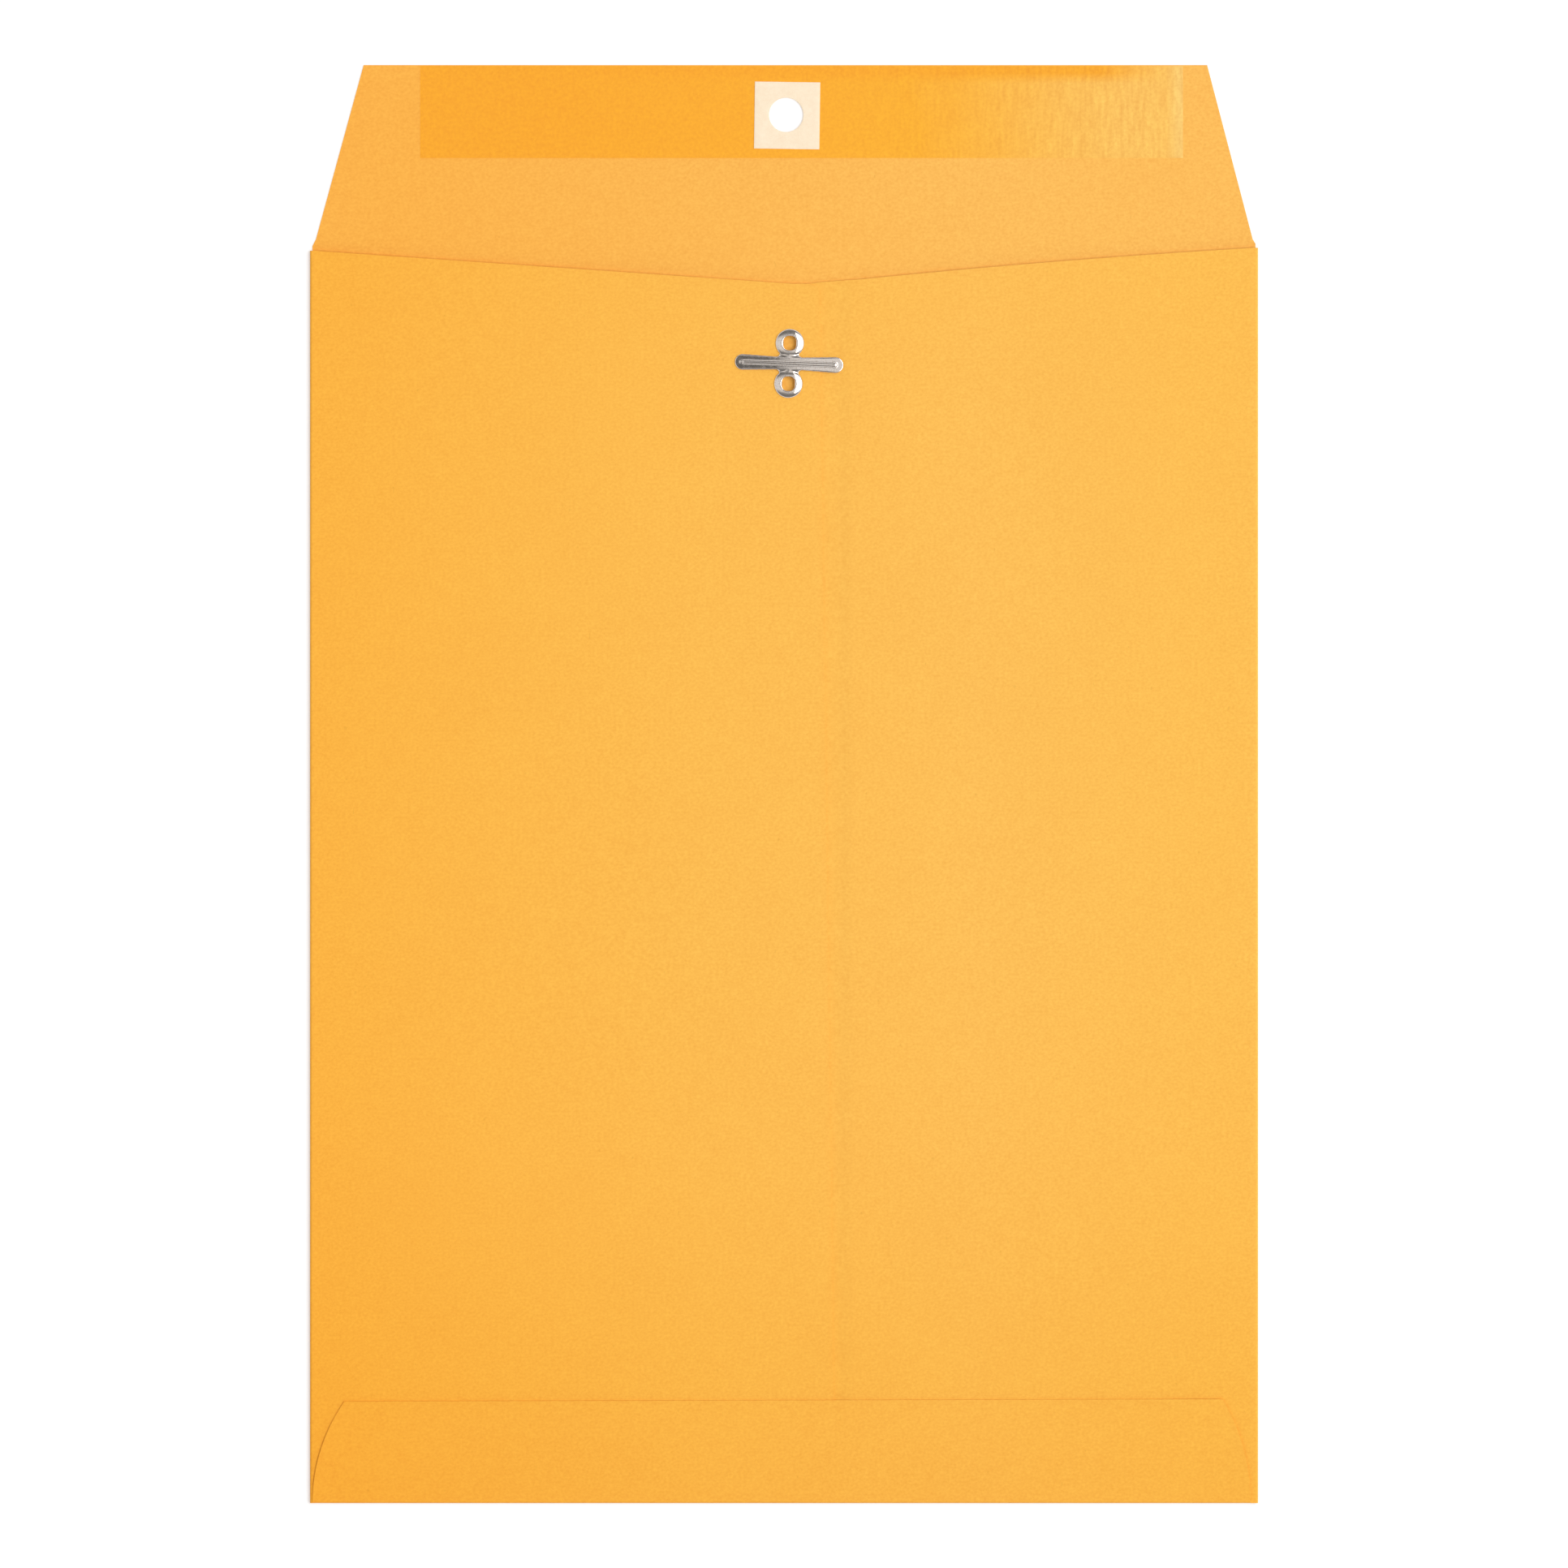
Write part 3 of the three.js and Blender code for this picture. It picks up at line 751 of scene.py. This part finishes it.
# Operators: one for each piece or group of like pieces
class ENVELOPE_OT_front_sheet(bpy.types.Operator):
    """Front panel and open seal flap, one sheet with a crease"""

    bl_idname = "envelope.front_sheet"
    bl_label = "Front Sheet and Seal Flap"

    def execute(self, context):
        paper = context.scene.envelope_paper
        low = (front_low.x, front_low.y)
        high = (front_high.x, EDGE_Y)
        piece = sheet("front_sheet", low, high, FRONT_Z, 24, 36)
        score(piece, CREASE_Y, across=True)
        on_panel = lambda place: place.y < CREASE_Y
        on_flap = lambda place: place.y > CREASE_Y
        left_corner = (flap_low.x, CREASE_Y)
        right_corner = (flap_high.x, CREASE_Y)
        trim(piece, left_corner, (LEFT_X, left_fold_high.y), on_panel)
        trim(piece, (RIGHT_X, right_fold_high.y), right_corner, on_panel)
        trim(piece, (left_corner[0] + paper.flap_left_taper, EDGE_Y), left_corner, on_flap)
        trim(piece, right_corner, (right_corner[0] - paper.flap_right_taper, EDGE_Y), on_flap)
        half_bends = 6
        for step in range(-half_bends, half_bends + 1):
            score(piece, CREASE_Y + step * paper.crease_run / (2 * half_bends), across=True)
        under = Vector((*clasp_centre(paper, context.scene.envelope_clasp), FRONT_Z))
        top_radius = 12 * MM
        foot_radius = 45 * MM
        push(
            piece,
            "rise",
            paper.rise,
            lambda place: 1 - ease((place - under).length, top_radius, foot_radius),
        )
        thicken(piece, PAPER)
        x, y = flap_hole(paper)
        pierce(piece, round_cutter(x, y, FRONT_Z, paper.hole_radius))
        smooth(piece)
        dress(piece, kraft_inside(paper))
        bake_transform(piece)
        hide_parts("front_panel", "seal_flap")
        return {"FINISHED"}


class ENVELOPE_OT_back_panels(bpy.types.Operator):
    """Left and right back panels with their side folds, lapped at the seam"""

    bl_idname = "envelope.back_panels"
    bl_label = "Back Panels"

    def execute(self, context):
        paper = context.scene.envelope_paper
        clasp = context.scene.envelope_clasp
        finish = kraft_outside(paper)
        cloud = slack_cloud(paper)
        barrel_room = 0.55 * MM
        radius = clasp.bore_width / 2 + barrel_room
        for piece, nodes in (
            (self.left_panel(paper), ("left_back_panel", "left_side_fold")),
            (self.right_panel(paper), ("right_back_panel", "right_side_fold")),
        ):
            push(piece, "slack", paper.slack, slack_amount, cloud=cloud)
            thicken(piece, PAPER)
            cutters = [
                round_cutter(x, y, BACK_Z, radius, steps=64) for x, y in eyelets(paper, clasp)
            ]
            pierce(piece, *cutters)
            smooth(piece)
            dress(piece, finish)
            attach(piece, "envelope")
            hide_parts(*nodes)
        return {"FINISHED"}

    def left_panel(self, paper):
        foot = left_panel_low.y
        low = (left_fold_high.x, foot)
        high = (left_panel_high.x, left_fold_high.y)
        piece = sheet("left_back_sheet", low, high, BACK_Z, 30, 70)
        throat_y = CREASE_Y - paper.throat_depth
        seam_corner = (paper.seam_top, throat_y - paper.seam_corner)
        trim(piece, (left_panel_high.x, foot), seam_corner)
        top = [
            seam_corner,
            (paper.throat_right, throat_y),
            (paper.throat_left, throat_y),
            (left_fold_high.x, left_fold_high.y),
        ]
        trim_top(piece, top)
        self.fold(piece, left_fold_high.x, -1)
        return piece

    def right_panel(self, paper):
        foot = right_panel_low.y
        low = (right_panel_low.x, foot)
        high = (right_fold_low.x, right_fold_high.y)
        piece = sheet("right_back_sheet", low, high, BACK_Z, 36, 70)
        dip_start = left_panel_high.x + paper.tuck_clearance
        dip_end = dip_start + paper.tuck_run
        bends = 8
        for step in range(bends + 1):
            score(piece, dip_start + step * paper.tuck_run / bends, across=False)
        throat_y = CREASE_Y - paper.throat_depth
        start = Vector((right_fold_low.x, right_fold_high.y))
        end = Vector((paper.shoulder_x, throat_y + paper.shoulder_rise))
        middle = (start + end) / 2 + Vector((0, paper.throat_bulge))
        top = curve(start, middle, end, 10)
        top.append((paper.seam_top, throat_y + paper.throat_rise))
        top.append((paper.throat_right, throat_y))
        top.append((right_panel_low.x, throat_y - paper.seam_corner))
        trim_top(piece, top)
        dip = right_panel_high.z - PAPER / 2 - (right_panel_low.z + PAPER / 2)
        push(piece, "tuck", -dip, lambda place: 1 - ease(place.x, dip_start, dip_end))
        self.fold(piece, right_fold_low.x, 1)
        return piece

    def fold(self, piece, x, side):
        """Turn the panel's outer edge under, and run the fold to the corner."""
        corner = bottom_flap_low.x if side < 0 else bottom_flap_high.x
        score(piece, corner, across=False)
        centre = (x, 0, (front_low.z + left_panel_high.z) / 2)
        on_edge = lambda place: abs(place.x - x) < PICK_TOLERANCE
        spin_edge(piece, on_edge, centre, (0, 1, 0), -side * math.pi, 12)
        foot = left_panel_low.y
        past_corner = lambda place: (
            side * (place.x - corner) > -PICK_TOLERANCE
            and abs(place.y - foot) < PICK_TOLERANCE
        )
        edit_points(piece, past_corner)
        drop = BOTTOM_Y - foot
        bpy.ops.mesh.extrude_edges_move(TRANSFORM_OT_translate={"value": (0, drop, 0)})
        object_mode()


class ENVELOPE_OT_bottom_flap(bpy.types.Operator):
    """Bottom flap with its fold, its curved ends and its lifted right end"""

    bl_idname = "envelope.bottom_flap"
    bl_label = "Bottom Flap"

    def execute(self, context):
        paper = context.scene.envelope_paper
        foot = bottom_fold_high.y
        low = (bottom_flap_low.x, foot)
        high = (bottom_flap_high.x, bottom_flap_high.y)
        z = bottom_flap_high.z - PAPER / 2
        piece = sheet("bottom_sheet", low, high, z, 48, 16)
        right_height = paper.bottom_right_height
        left_height = paper.bottom_left_height
        right_turn = math.asin(right_height / paper.bottom_right_radius)
        left_turn = math.asin(left_height / paper.bottom_left_radius)
        right_centre = (bottom_flap_high.x - paper.bottom_right_radius, BOTTOM_Y)
        left_centre = (bottom_flap_low.x + paper.bottom_left_radius, BOTTOM_Y)
        trim_arc(piece, right_centre, paper.bottom_right_radius, 0, right_turn, 12)
        trim(
            piece,
            (bottom_flap_high.x, BOTTOM_Y + right_height),
            (bottom_flap_low.x, BOTTOM_Y + left_height),
        )
        trim_arc(
            piece, left_centre, paper.bottom_left_radius, math.pi - left_turn, math.pi, 12
        )
        middle = (bottom_flap_low.x + bottom_flap_high.x) / 2
        half_width = (bottom_flap_high.x - bottom_flap_low.x) / 2
        glued_from = 9 * MM
        loose_to = 1 * MM
        fold_run = 6 * MM
        edge_run = 4 * MM

        def loose(place):
            from_side = half_width - abs(place.x - middle)
            side = ease(from_side, glued_from, loose_to) * ease(place.y, foot, foot + fold_run)
            return max(side, ease(place.y, high[1] - edge_run, high[1]))

        push(piece, "edge", paper.edge_lift, loose)
        lift_x = high[0] - 13 * MM
        lift_reach = 11 * MM
        lift_run = 5 * MM

        def lifted(place):
            beside = ease(abs(place.x - lift_x), 0, lift_reach)
            return (1 - beside) * ease(place.y, high[1] - lift_run, high[1])

        push(piece, "lift", paper.corner_lift, lifted)
        centre = (0, foot, (bottom_fold_low.z + bottom_fold_high.z) / 2)
        on_edge = lambda place: abs(place.y - foot) < PICK_TOLERANCE
        spin_edge(piece, on_edge, centre, (1, 0, 0), -math.pi, 14)
        corner_size = 1 * MM
        for name, corner, target in (
            ("left", bottom_flap_low.x, left_fold_high.x),
            ("right", bottom_flap_high.x, right_fold_low.x),
        ):

            def turned(place, corner=corner):
                near = abs(place.x - corner) < corner_size
                return ease(z - place.z, 0, z - FRONT_Z) if near else 0

            push(piece, name, target - corner, turned, direction="X")
        thicken(piece, PAPER)
        smooth(piece)
        dress(piece, kraft_outside(paper))
        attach(piece, "envelope")
        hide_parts("bottom_flap", "bottom_fold")
        return {"FINISHED"}


class ENVELOPE_OT_gum(bpy.types.Operator):
    """Band of dried gum along the flap's edge"""

    bl_idname = "envelope.gum"
    bl_label = "Gum"

    def execute(self, context):
        paper = context.scene.envelope_paper
        films = context.scene.envelope_films
        low = (gum_low.x, gum_low.y)
        high = (gum_high.x, gum_high.y)
        z = (gum_low.z + gum_high.z) / 2
        piece = sheet("gum_film", low, high, z, 48, 8)
        thicken(piece, gum_high.z - gum_low.z)
        x, y = flap_hole(paper)
        pierce(piece, round_cutter(x, y, z, paper.hole_radius))
        smooth(piece)
        dress(piece, dried_gum(films))
        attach(piece, "flap")
        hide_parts("gum_strip")
        return {"FINISHED"}


class ENVELOPE_OT_patch(bpy.types.Operator):
    """Cream reinforcing patch round the flap's hole"""

    bl_idname = "envelope.patch"
    bl_label = "Hole Patch"

    def execute(self, context):
        paper = context.scene.envelope_paper
        films = context.scene.envelope_films
        centre = (patch_low + patch_high) / 2
        high = (films.patch_width / 2, films.patch_height / 2)
        piece = sheet("patch", (-high[0], -high[1]), high, 0, 12, 12)
        thicken(piece, patch_high.z - patch_low.z)
        piece.rotation_euler.z = films.patch_turn
        piece.location = centre
        settle(piece)
        x, y = flap_hole(paper)
        pierce(piece, round_cutter(x, y, centre.z, paper.hole_radius))
        apply_modifier(
            piece,
            "BEVEL",
            width=films.patch_edge,
            segments=3,
            limit_method="ANGLE",
            angle_limit=math.radians(60),
        )
        smooth(piece, 60)
        dress(piece, cream_patch(films))
        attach(piece, "flap")
        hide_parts("hole_patch")
        return {"FINISHED"}


class ENVELOPE_OT_glue(bpy.types.Operator):
    """Finish of the two glue films, which keep their own solids"""

    bl_idname = "envelope.glue"
    bl_label = "Glue Films"

    def execute(self, context):
        finish = dried_glue(context.scene.envelope_films)
        for name in ("seam_glue", "bottom_glue"):
            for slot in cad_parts[name].material_slots:
                slot.material = finish
        return {"FINISHED"}


class ENVELOPE_OT_clasp(bpy.types.Operator):
    """Clasp stamped from one tinned sheet: hub, two rings and two prongs"""

    bl_idname = "envelope.clasp"
    bl_label = "Clasp"

    rib_left = -10.9 * MM
    rib_right = 10.4 * MM

    def execute(self, context):
        paper = context.scene.envelope_paper
        clasp = context.scene.envelope_clasp
        parts = [self.bar(clasp), self.neck(clasp), self.rib(clasp)]
        parts += self.bosses(clasp)
        parts += self.rings(clasp)
        stamping = join("stamping", *parts)
        apply_modifier(stamping, "REMESH", mode="VOXEL", voxel_size=clasp.mesh_size)
        apply_modifier(stamping, "SMOOTH", factor=0.5, iterations=8)
        necks = stamping.vertex_groups.new(name="necks")
        for point in stamping.data.vertices:
            necks.add([point.index], self.neck_amount(clasp, point.co), "REPLACE")
        apply_modifier(stamping, "SMOOTH", factor=0.5, iterations=40, vertex_group="necks")
        stamping.vertex_groups.remove(stamping.vertex_groups["necks"])
        push(stamping, "crown", clasp.crown, lambda place: self.crown_amount(clasp, place))
        left = self.prong(clasp, stamping, "left_prong_stamping", -1)
        right = self.prong(clasp, stamping, "right_prong_stamping", 1)
        pierce(stamping, self.prong_cutter(clasp, -1), self.prong_cutter(clasp, 1))
        hub = join("clasp_stamping", stamping, *self.barrels(clasp))
        centre = Vector((*clasp_centre(paper, clasp), self.seat(clasp)))
        finish = tinned_steel(clasp)
        for piece in (hub, left, right):
            piece.rotation_euler.z = clasp.turned
            piece.location = centre
            settle(piece)
            smooth(piece, 50)
            dress(piece, finish)
        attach(hub, "envelope")
        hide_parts("clasp_base")
        for piece, side, body, node in (
            (left, -1, "left_prong", "clasp_left_prong"),
            (right, 1, "right_prong", "clasp_right_prong"),
        ):
            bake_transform(piece)
            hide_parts(node)
        return {"FINISHED"}

    def seat(self, clasp):
        """Height of the paper side of the clasp's sheet."""
        return clasp_high.z - clasp.height

    def neck_amount(self, clasp, place):
        """How near a place is to a neck, where bar and ring run into each other."""
        inner_x, outer_x = 2.6 * MM, 3.4 * MM
        inner_y, outer_y = 0.4 * MM, 0.8 * MM
        neck_y = clasp.root_width / 2 + inner_y
        beside = 1 - ease(abs(place.x), inner_x, outer_x)
        return beside * (1 - ease(abs(abs(place.y) - neck_y), inner_y, outer_y))

    def crown_amount(self, clasp, place):
        """How far a place is raised: most at the middle of the bar, and not at all on the rings."""
        half_root = clasp.root_width / 2
        top_y, foot_y = half_root - 0.2 * MM, half_root + 0.7 * MM
        along = 1 - min(1, abs(place.x) / clasp.reach) ** 2
        return along * (1 - ease(abs(place.y), top_y, foot_y))

    def bar(self, clasp):
        """Both prongs and the hub between them: a tapering strip with round ends."""
        half = clasp.tip_width / 2
        tip_centre = clasp.reach - half
        piece = sheet("bar", (-clasp.reach, -half), (clasp.reach, half), 0, 1, 4)
        for place in (-tip_centre, -clasp.hub_width / 2, clasp.hub_width / 2, tip_centre):
            score(piece, place, across=False)
        near_hub = clasp.hub_width / 2 + PICK_TOLERANCE
        edit_points(piece, lambda place: abs(place.x) < near_hub)
        bpy.ops.transform.resize(
            value=(1, clasp.root_width / clasp.tip_width, 1), center_override=(0, 0, 0)
        )
        object_mode()
        quarter = math.pi / 2
        right_end = lambda place: place.x > tip_centre
        left_end = lambda place: place.x < -tip_centre
        trim_arc(piece, (tip_centre, 0), half, -quarter, quarter, 14, right_end)
        trim_arc(piece, (-tip_centre, 0), half, quarter, 3 * quarter, 14, left_end)
        thicken(piece, clasp.metal, 1.0)
        return piece

    def neck(self, clasp):
        """The strip that joins the rings, with a hollow curve into the bar at each corner."""
        half_width = clasp.neck_width / 2
        bore_room = 0.1 * MM
        bar_overlap = 0.05 * MM
        half_height = clasp.ring_spacing / 2 - clasp.bore_height / 2 - bore_room
        low = (-half_width, -half_height)
        piece = sheet("neck", low, (half_width, half_height), 0, 8, 1)
        rows = []
        for drop, flare in ((0.0, 1.0), (0.15, 0.65), (0.4, 0.33), (0.75, 0.1), (1.1, 0.0)):
            for side in (-1, 1):
                y = side * (clasp.root_width / 2 - bar_overlap + drop * MM)
                score(piece, y, across=True)
                rows.append((y, flare * MM))
        for y, flare in rows:
            edit_points(piece, lambda place, y=y: abs(place.y - y) < PICK_TOLERANCE)
            wide = 1 + flare / half_width
            bpy.ops.transform.resize(value=(wide, 1, 1), center_override=(0, y, 0))
            object_mode()
        thicken(piece, clasp.metal, 1.0)
        return piece

    def rib(self, clasp):
        """Stiffening rib pressed up along the bar, from its round left end to its right boss."""
        half_rib = clasp.rib_width / 2
        piece = primitive(
            "cylinder",
            "rib",
            vertices=32,
            radius=half_rib,
            depth=self.rib_right - self.rib_left,
            location=((self.rib_left + self.rib_right) / 2, 0, 0),
            rotation=(0, math.pi / 2, 0),
        )
        piece.scale.z = clasp.rib_height / half_rib
        piece.location.z = clasp.metal
        settle(piece)
        return piece

    def bosses(self, clasp):
        """Round left end of the rib, a small boss past it, and a larger one at the right."""
        half_rib = clasp.rib_width / 2
        left_x, left_radius = -11.6 * MM, 0.35 * MM
        right_x, right_radius = 11.0 * MM, 0.7 * MM
        places = ((left_x, left_radius), (self.rib_left, half_rib), (right_x, right_radius))
        return [
            primitive(
                "uv_sphere",
                "boss",
                scale=(1, 1, clasp.rib_height / half_rib),
                segments=24,
                ring_count=12,
                radius=radius,
                location=(x, 0, clasp.metal),
            )
            for x, radius in places
        ]

    def rings(self, clasp):
        """Two shallow domes, each with a squarish opening and a narrow rim round it."""
        piece = primitive(
            "uv_sphere",
            "ring",
            scale=(1, 1, clasp.dome_height / clasp.ring_radius),
            segments=72,
            ring_count=36,
            radius=clasp.ring_radius,
        )
        edit_faces(piece)
        bpy.ops.mesh.bisect(
            plane_co=(0, 0, 0),
            plane_no=(0, 0, 1),
            clear_inner=True,
            use_fill=True,
            threshold=CUT_TOLERANCE,
        )
        object_mode()
        half_width = clasp.bore_width / 2
        half_height = clasp.bore_height / 2
        rim_width = 0.5 * MM
        corner_size = 1.1 * MM
        cone_height = clasp.dome_height / 2
        cone = primitive(
            "cone",
            "cutter",
            vertices=72,
            radius1=half_width,
            radius2=half_width + rim_width,
            depth=cone_height,
            location=(0, 0, clasp.dome_height - cone_height / 2),
        )
        pierce(piece, cone)
        cutter = sheet(
            "cutter", (-half_width, -half_height), (half_width, half_height), 0, 1, 1
        )
        edit_points(cutter, lambda place: True)
        bpy.ops.mesh.bevel(affect="VERTICES", offset=corner_size, segments=8)
        object_mode()
        thicken(cutter, 4 * clasp.dome_height)
        pierce(piece, cutter)
        twin = copied("ring", piece)
        for ring, side in ((piece, 1), (twin, -1)):
            ring.location.y = side * clasp.ring_spacing / 2
            settle(ring)
        return [piece, twin]

    def barrels(self, clasp):
        """The rings' barrels through the paper, spread flat inside the pocket."""
        bore_room = 0.3 * MM
        wall = 0.2 * MM
        spread = 0.22 * MM
        paper_gap = 0.02 * MM
        radius = clasp.bore_width / 2 + bore_room
        flange_radius = 2.9 * MM
        stack = self.seat(clasp) - right_panel_low.z + paper_gap
        pieces = []
        for side in (1, -1):
            y = side * clasp.ring_spacing / 2
            tube = primitive(
                "cylinder",
                "barrel",
                vertices=64,
                radius=radius,
                depth=stack + spread,
                end_fill_type="NOTHING",
                location=(0, y, -(stack + spread) / 2),
            )
            thicken(tube, wall, 1.0)
            flange = primitive(
                "circle",
                "flange",
                vertices=64,
                radius=flange_radius,
                fill_type="NGON",
                location=(0, y, -stack),
            )
            edit_faces(flange)
            bpy.ops.mesh.inset(thickness=flange_radius - radius)
            bpy.ops.mesh.delete(type="FACE")
            object_mode()
            thicken(flange, spread, -1.0)
            pieces += [tube, flange]
        return pieces

    def prong_cutter(self, clasp, side):
        """A tapering block round one prong, from its bend to past its tip."""
        past_tip = 1 * MM
        tip_room = 0.2 * MM
        root_room = 0.05 * MM
        root_x = side * clasp.hub_width / 2
        tip_x = side * (clasp.reach + past_tip)
        half_tip = clasp.tip_width / 2 + tip_room
        half_root = clasp.root_width / 2 + root_room
        low = (min(root_x, tip_x), -half_tip)
        high = (max(root_x, tip_x), half_tip)
        block = sheet("cutter", low, high, 0, 1, 1)
        edit_points(block, lambda place: abs(place.x - root_x) < PICK_TOLERANCE)
        bpy.ops.transform.resize(value=(1, half_root / half_tip, 1), center_override=(0, 0, 0))
        object_mode()
        thicken(block, 4 * clasp.dome_height)
        return block

    def prong(self, clasp, stamping, name, side):
        """A copy of the stamping, cut down to one prong."""
        piece = copied(name, stamping)
        block = self.prong_cutter(clasp, side)
        apply_modifier(piece, "BOOLEAN", operation="INTERSECT", object=block, solver="EXACT")
        bpy.data.objects.remove(block)
        return piece


class ENVELOPE_OT_stage(bpy.types.Operator):
    """Pale floor, soft room light, one large lamp and the camera overhead"""

    bl_idname = "envelope.stage"
    bl_label = "Stage"

    def execute(self, context):
        stage = context.scene.envelope_stage
        self.floor(stage)
        self.room(stage)
        self.lamp(stage)
        self.camera(stage)
        context.scene.view_settings.view_transform = "Standard"
        return {"FINISHED"}

    def floor(self, stage):
        drop = 0.02 * MM
        floor = primitive("plane", "floor", size=12, location=(0, 0, -drop))
        finish = Finish("pale_floor", 0.9, specular=0.0)
        shader = finish.shader
        shader.inputs["Base Color"].default_value = (*stage.floor_colour, 1)
        shader.inputs["Emission Color"].default_value = (1, 1, 1, 1)
        rays = finish.add("LightPath").outputs
        seen = finish.math("MAXIMUM", rays["Is Camera Ray"], rays["Is Glossy Ray"])
        seen = finish.math("MAXIMUM", seen, rays["Is Transmission Ray"])
        glow = finish.math("MULTIPLY", seen, stage.floor_glow)
        finish.join(glow, shader.inputs["Emission Strength"])
        dress(floor, finish.material)

    def room(self, stage):
        """Walls that brighten to the right and darken high up at the room's ends, and a dim
        ceiling with a bright panel."""
        world = bpy.data.worlds.new("soft_room")
        bpy.context.scene.world = world
        world.use_nodes = True
        nodes = Nodes(world.node_tree)
        light = nodes.add("Background")
        nodes.join(light.outputs["Background"], nodes.add("OutputWorld").inputs["Surface"])
        direction = nodes.add("TexCoord").outputs["Generated"]
        rightward, flapward, upward = (nodes.part(direction, axis) for axis in "XYZ")

        def rise(value, low, high, first, last):
            return nodes.spread(value, low, high, first, last, "SMOOTHSTEP")

        lean = nodes.math("MULTIPLY_ADD", flapward, stage.panel_lean, rightward)
        overhead = rise(lean, -0.02, 0.008, 0.06, stage.panel_light)
        walls = rise(upward, 0.94, 0.992, stage.panel_light, 0.0)
        walls = nodes.math("MULTIPLY", walls, rise(rightward, -0.6, 0.6, 1.0, 1.2))
        ends = rise(nodes.math("ABSOLUTE", flapward), 0.2, 0.5, 1.0, 0.15)
        low = rise(upward, 0.4, 0.6, 1.0, 0.0)
        bright = nodes.math("MAXIMUM", overhead, walls)
        bright = nodes.math("MULTIPLY", bright, nodes.math("MAXIMUM", ends, low))
        strength = nodes.math("ADD", bright, stage.room_light)
        camera_ray = nodes.add("LightPath").outputs["Is Camera Ray"]
        nodes.join(nodes.math("MAXIMUM", strength, camera_ray), light.inputs["Strength"])

    def lamp(self, stage):
        deselect()
        bpy.ops.object.light_add(type="AREA", location=(8.7, 0.9, 9.9))
        lamp = bpy.context.active_object
        lamp.name = "key_lamp"
        lamp.data.shape = "RECTANGLE"
        lamp.data.size = 10.8
        lamp.data.size_y = 12.0
        lamp.data.energy = stage.key_strength
        lamp.visible_camera = False

    def camera(self, stage):
        sensor_width = 36
        distance = stage.photo_width * stage.lens / sensor_width
        deselect()
        bpy.ops.object.camera_add(location=(0, 0, distance + front_high.z))
        camera = bpy.context.active_object
        camera.name = "overhead_camera"
        camera.data.lens = stage.lens
        camera.data.sensor_width = sensor_width
        camera.data.clip_start = 0.1
        bpy.context.scene.camera = camera


class ENVELOPE_PT_panel(bpy.types.Panel):
    """Lists the envelope's pieces and their settings"""

    bl_label = "Clasp Envelope"
    bl_idname = "ENVELOPE_PT_panel"
    bl_space_type = "VIEW_3D"
    bl_region_type = "UI"
    bl_category = "Envelope"

    def draw(self, context):
        for name, operators in STEPS:
            box = self.layout.box()
            for operator in operators:
                box.operator(operator.bl_idname)
            settings = getattr(context.scene, name)
            for setting in settings.__annotations__:
                box.prop(settings, setting)


SETTINGS = {
    "envelope_paper": PaperSettings,
    "envelope_films": FilmSettings,
    "envelope_clasp": ClaspSettings,
    "envelope_stage": StageSettings,
}
STEPS = (
    (
        "envelope_paper",
        (ENVELOPE_OT_front_sheet, ENVELOPE_OT_back_panels, ENVELOPE_OT_bottom_flap),
    ),
    ("envelope_films", (ENVELOPE_OT_gum, ENVELOPE_OT_patch, ENVELOPE_OT_glue)),
    ("envelope_clasp", (ENVELOPE_OT_clasp,)),
    ("envelope_stage", (ENVELOPE_OT_stage,)),
)
OPERATORS = [operator for _, operators in STEPS for operator in operators]


def register():
    for kind in (*SETTINGS.values(), *OPERATORS, ENVELOPE_PT_panel):
        bpy.utils.register_class(kind)
    for name, kind in SETTINGS.items():
        setattr(bpy.types.Scene, name, bpy.props.PointerProperty(type=kind))


def unregister():
    for name in SETTINGS:
        delattr(bpy.types.Scene, name)
    for kind in (ENVELOPE_PT_panel, *reversed(OPERATORS), *SETTINGS.values()):
        bpy.utils.unregister_class(kind)


def main():
    register()
    bpy.ops.envelope.front_sheet()
    bpy.ops.envelope.back_panels()
    bpy.ops.envelope.bottom_flap()
    bpy.ops.envelope.gum()
    bpy.ops.envelope.patch()
    bpy.ops.envelope.glue()
    bpy.ops.envelope.clasp()
    bpy.ops.envelope.stage()


if __name__ == "__main__":
    main()
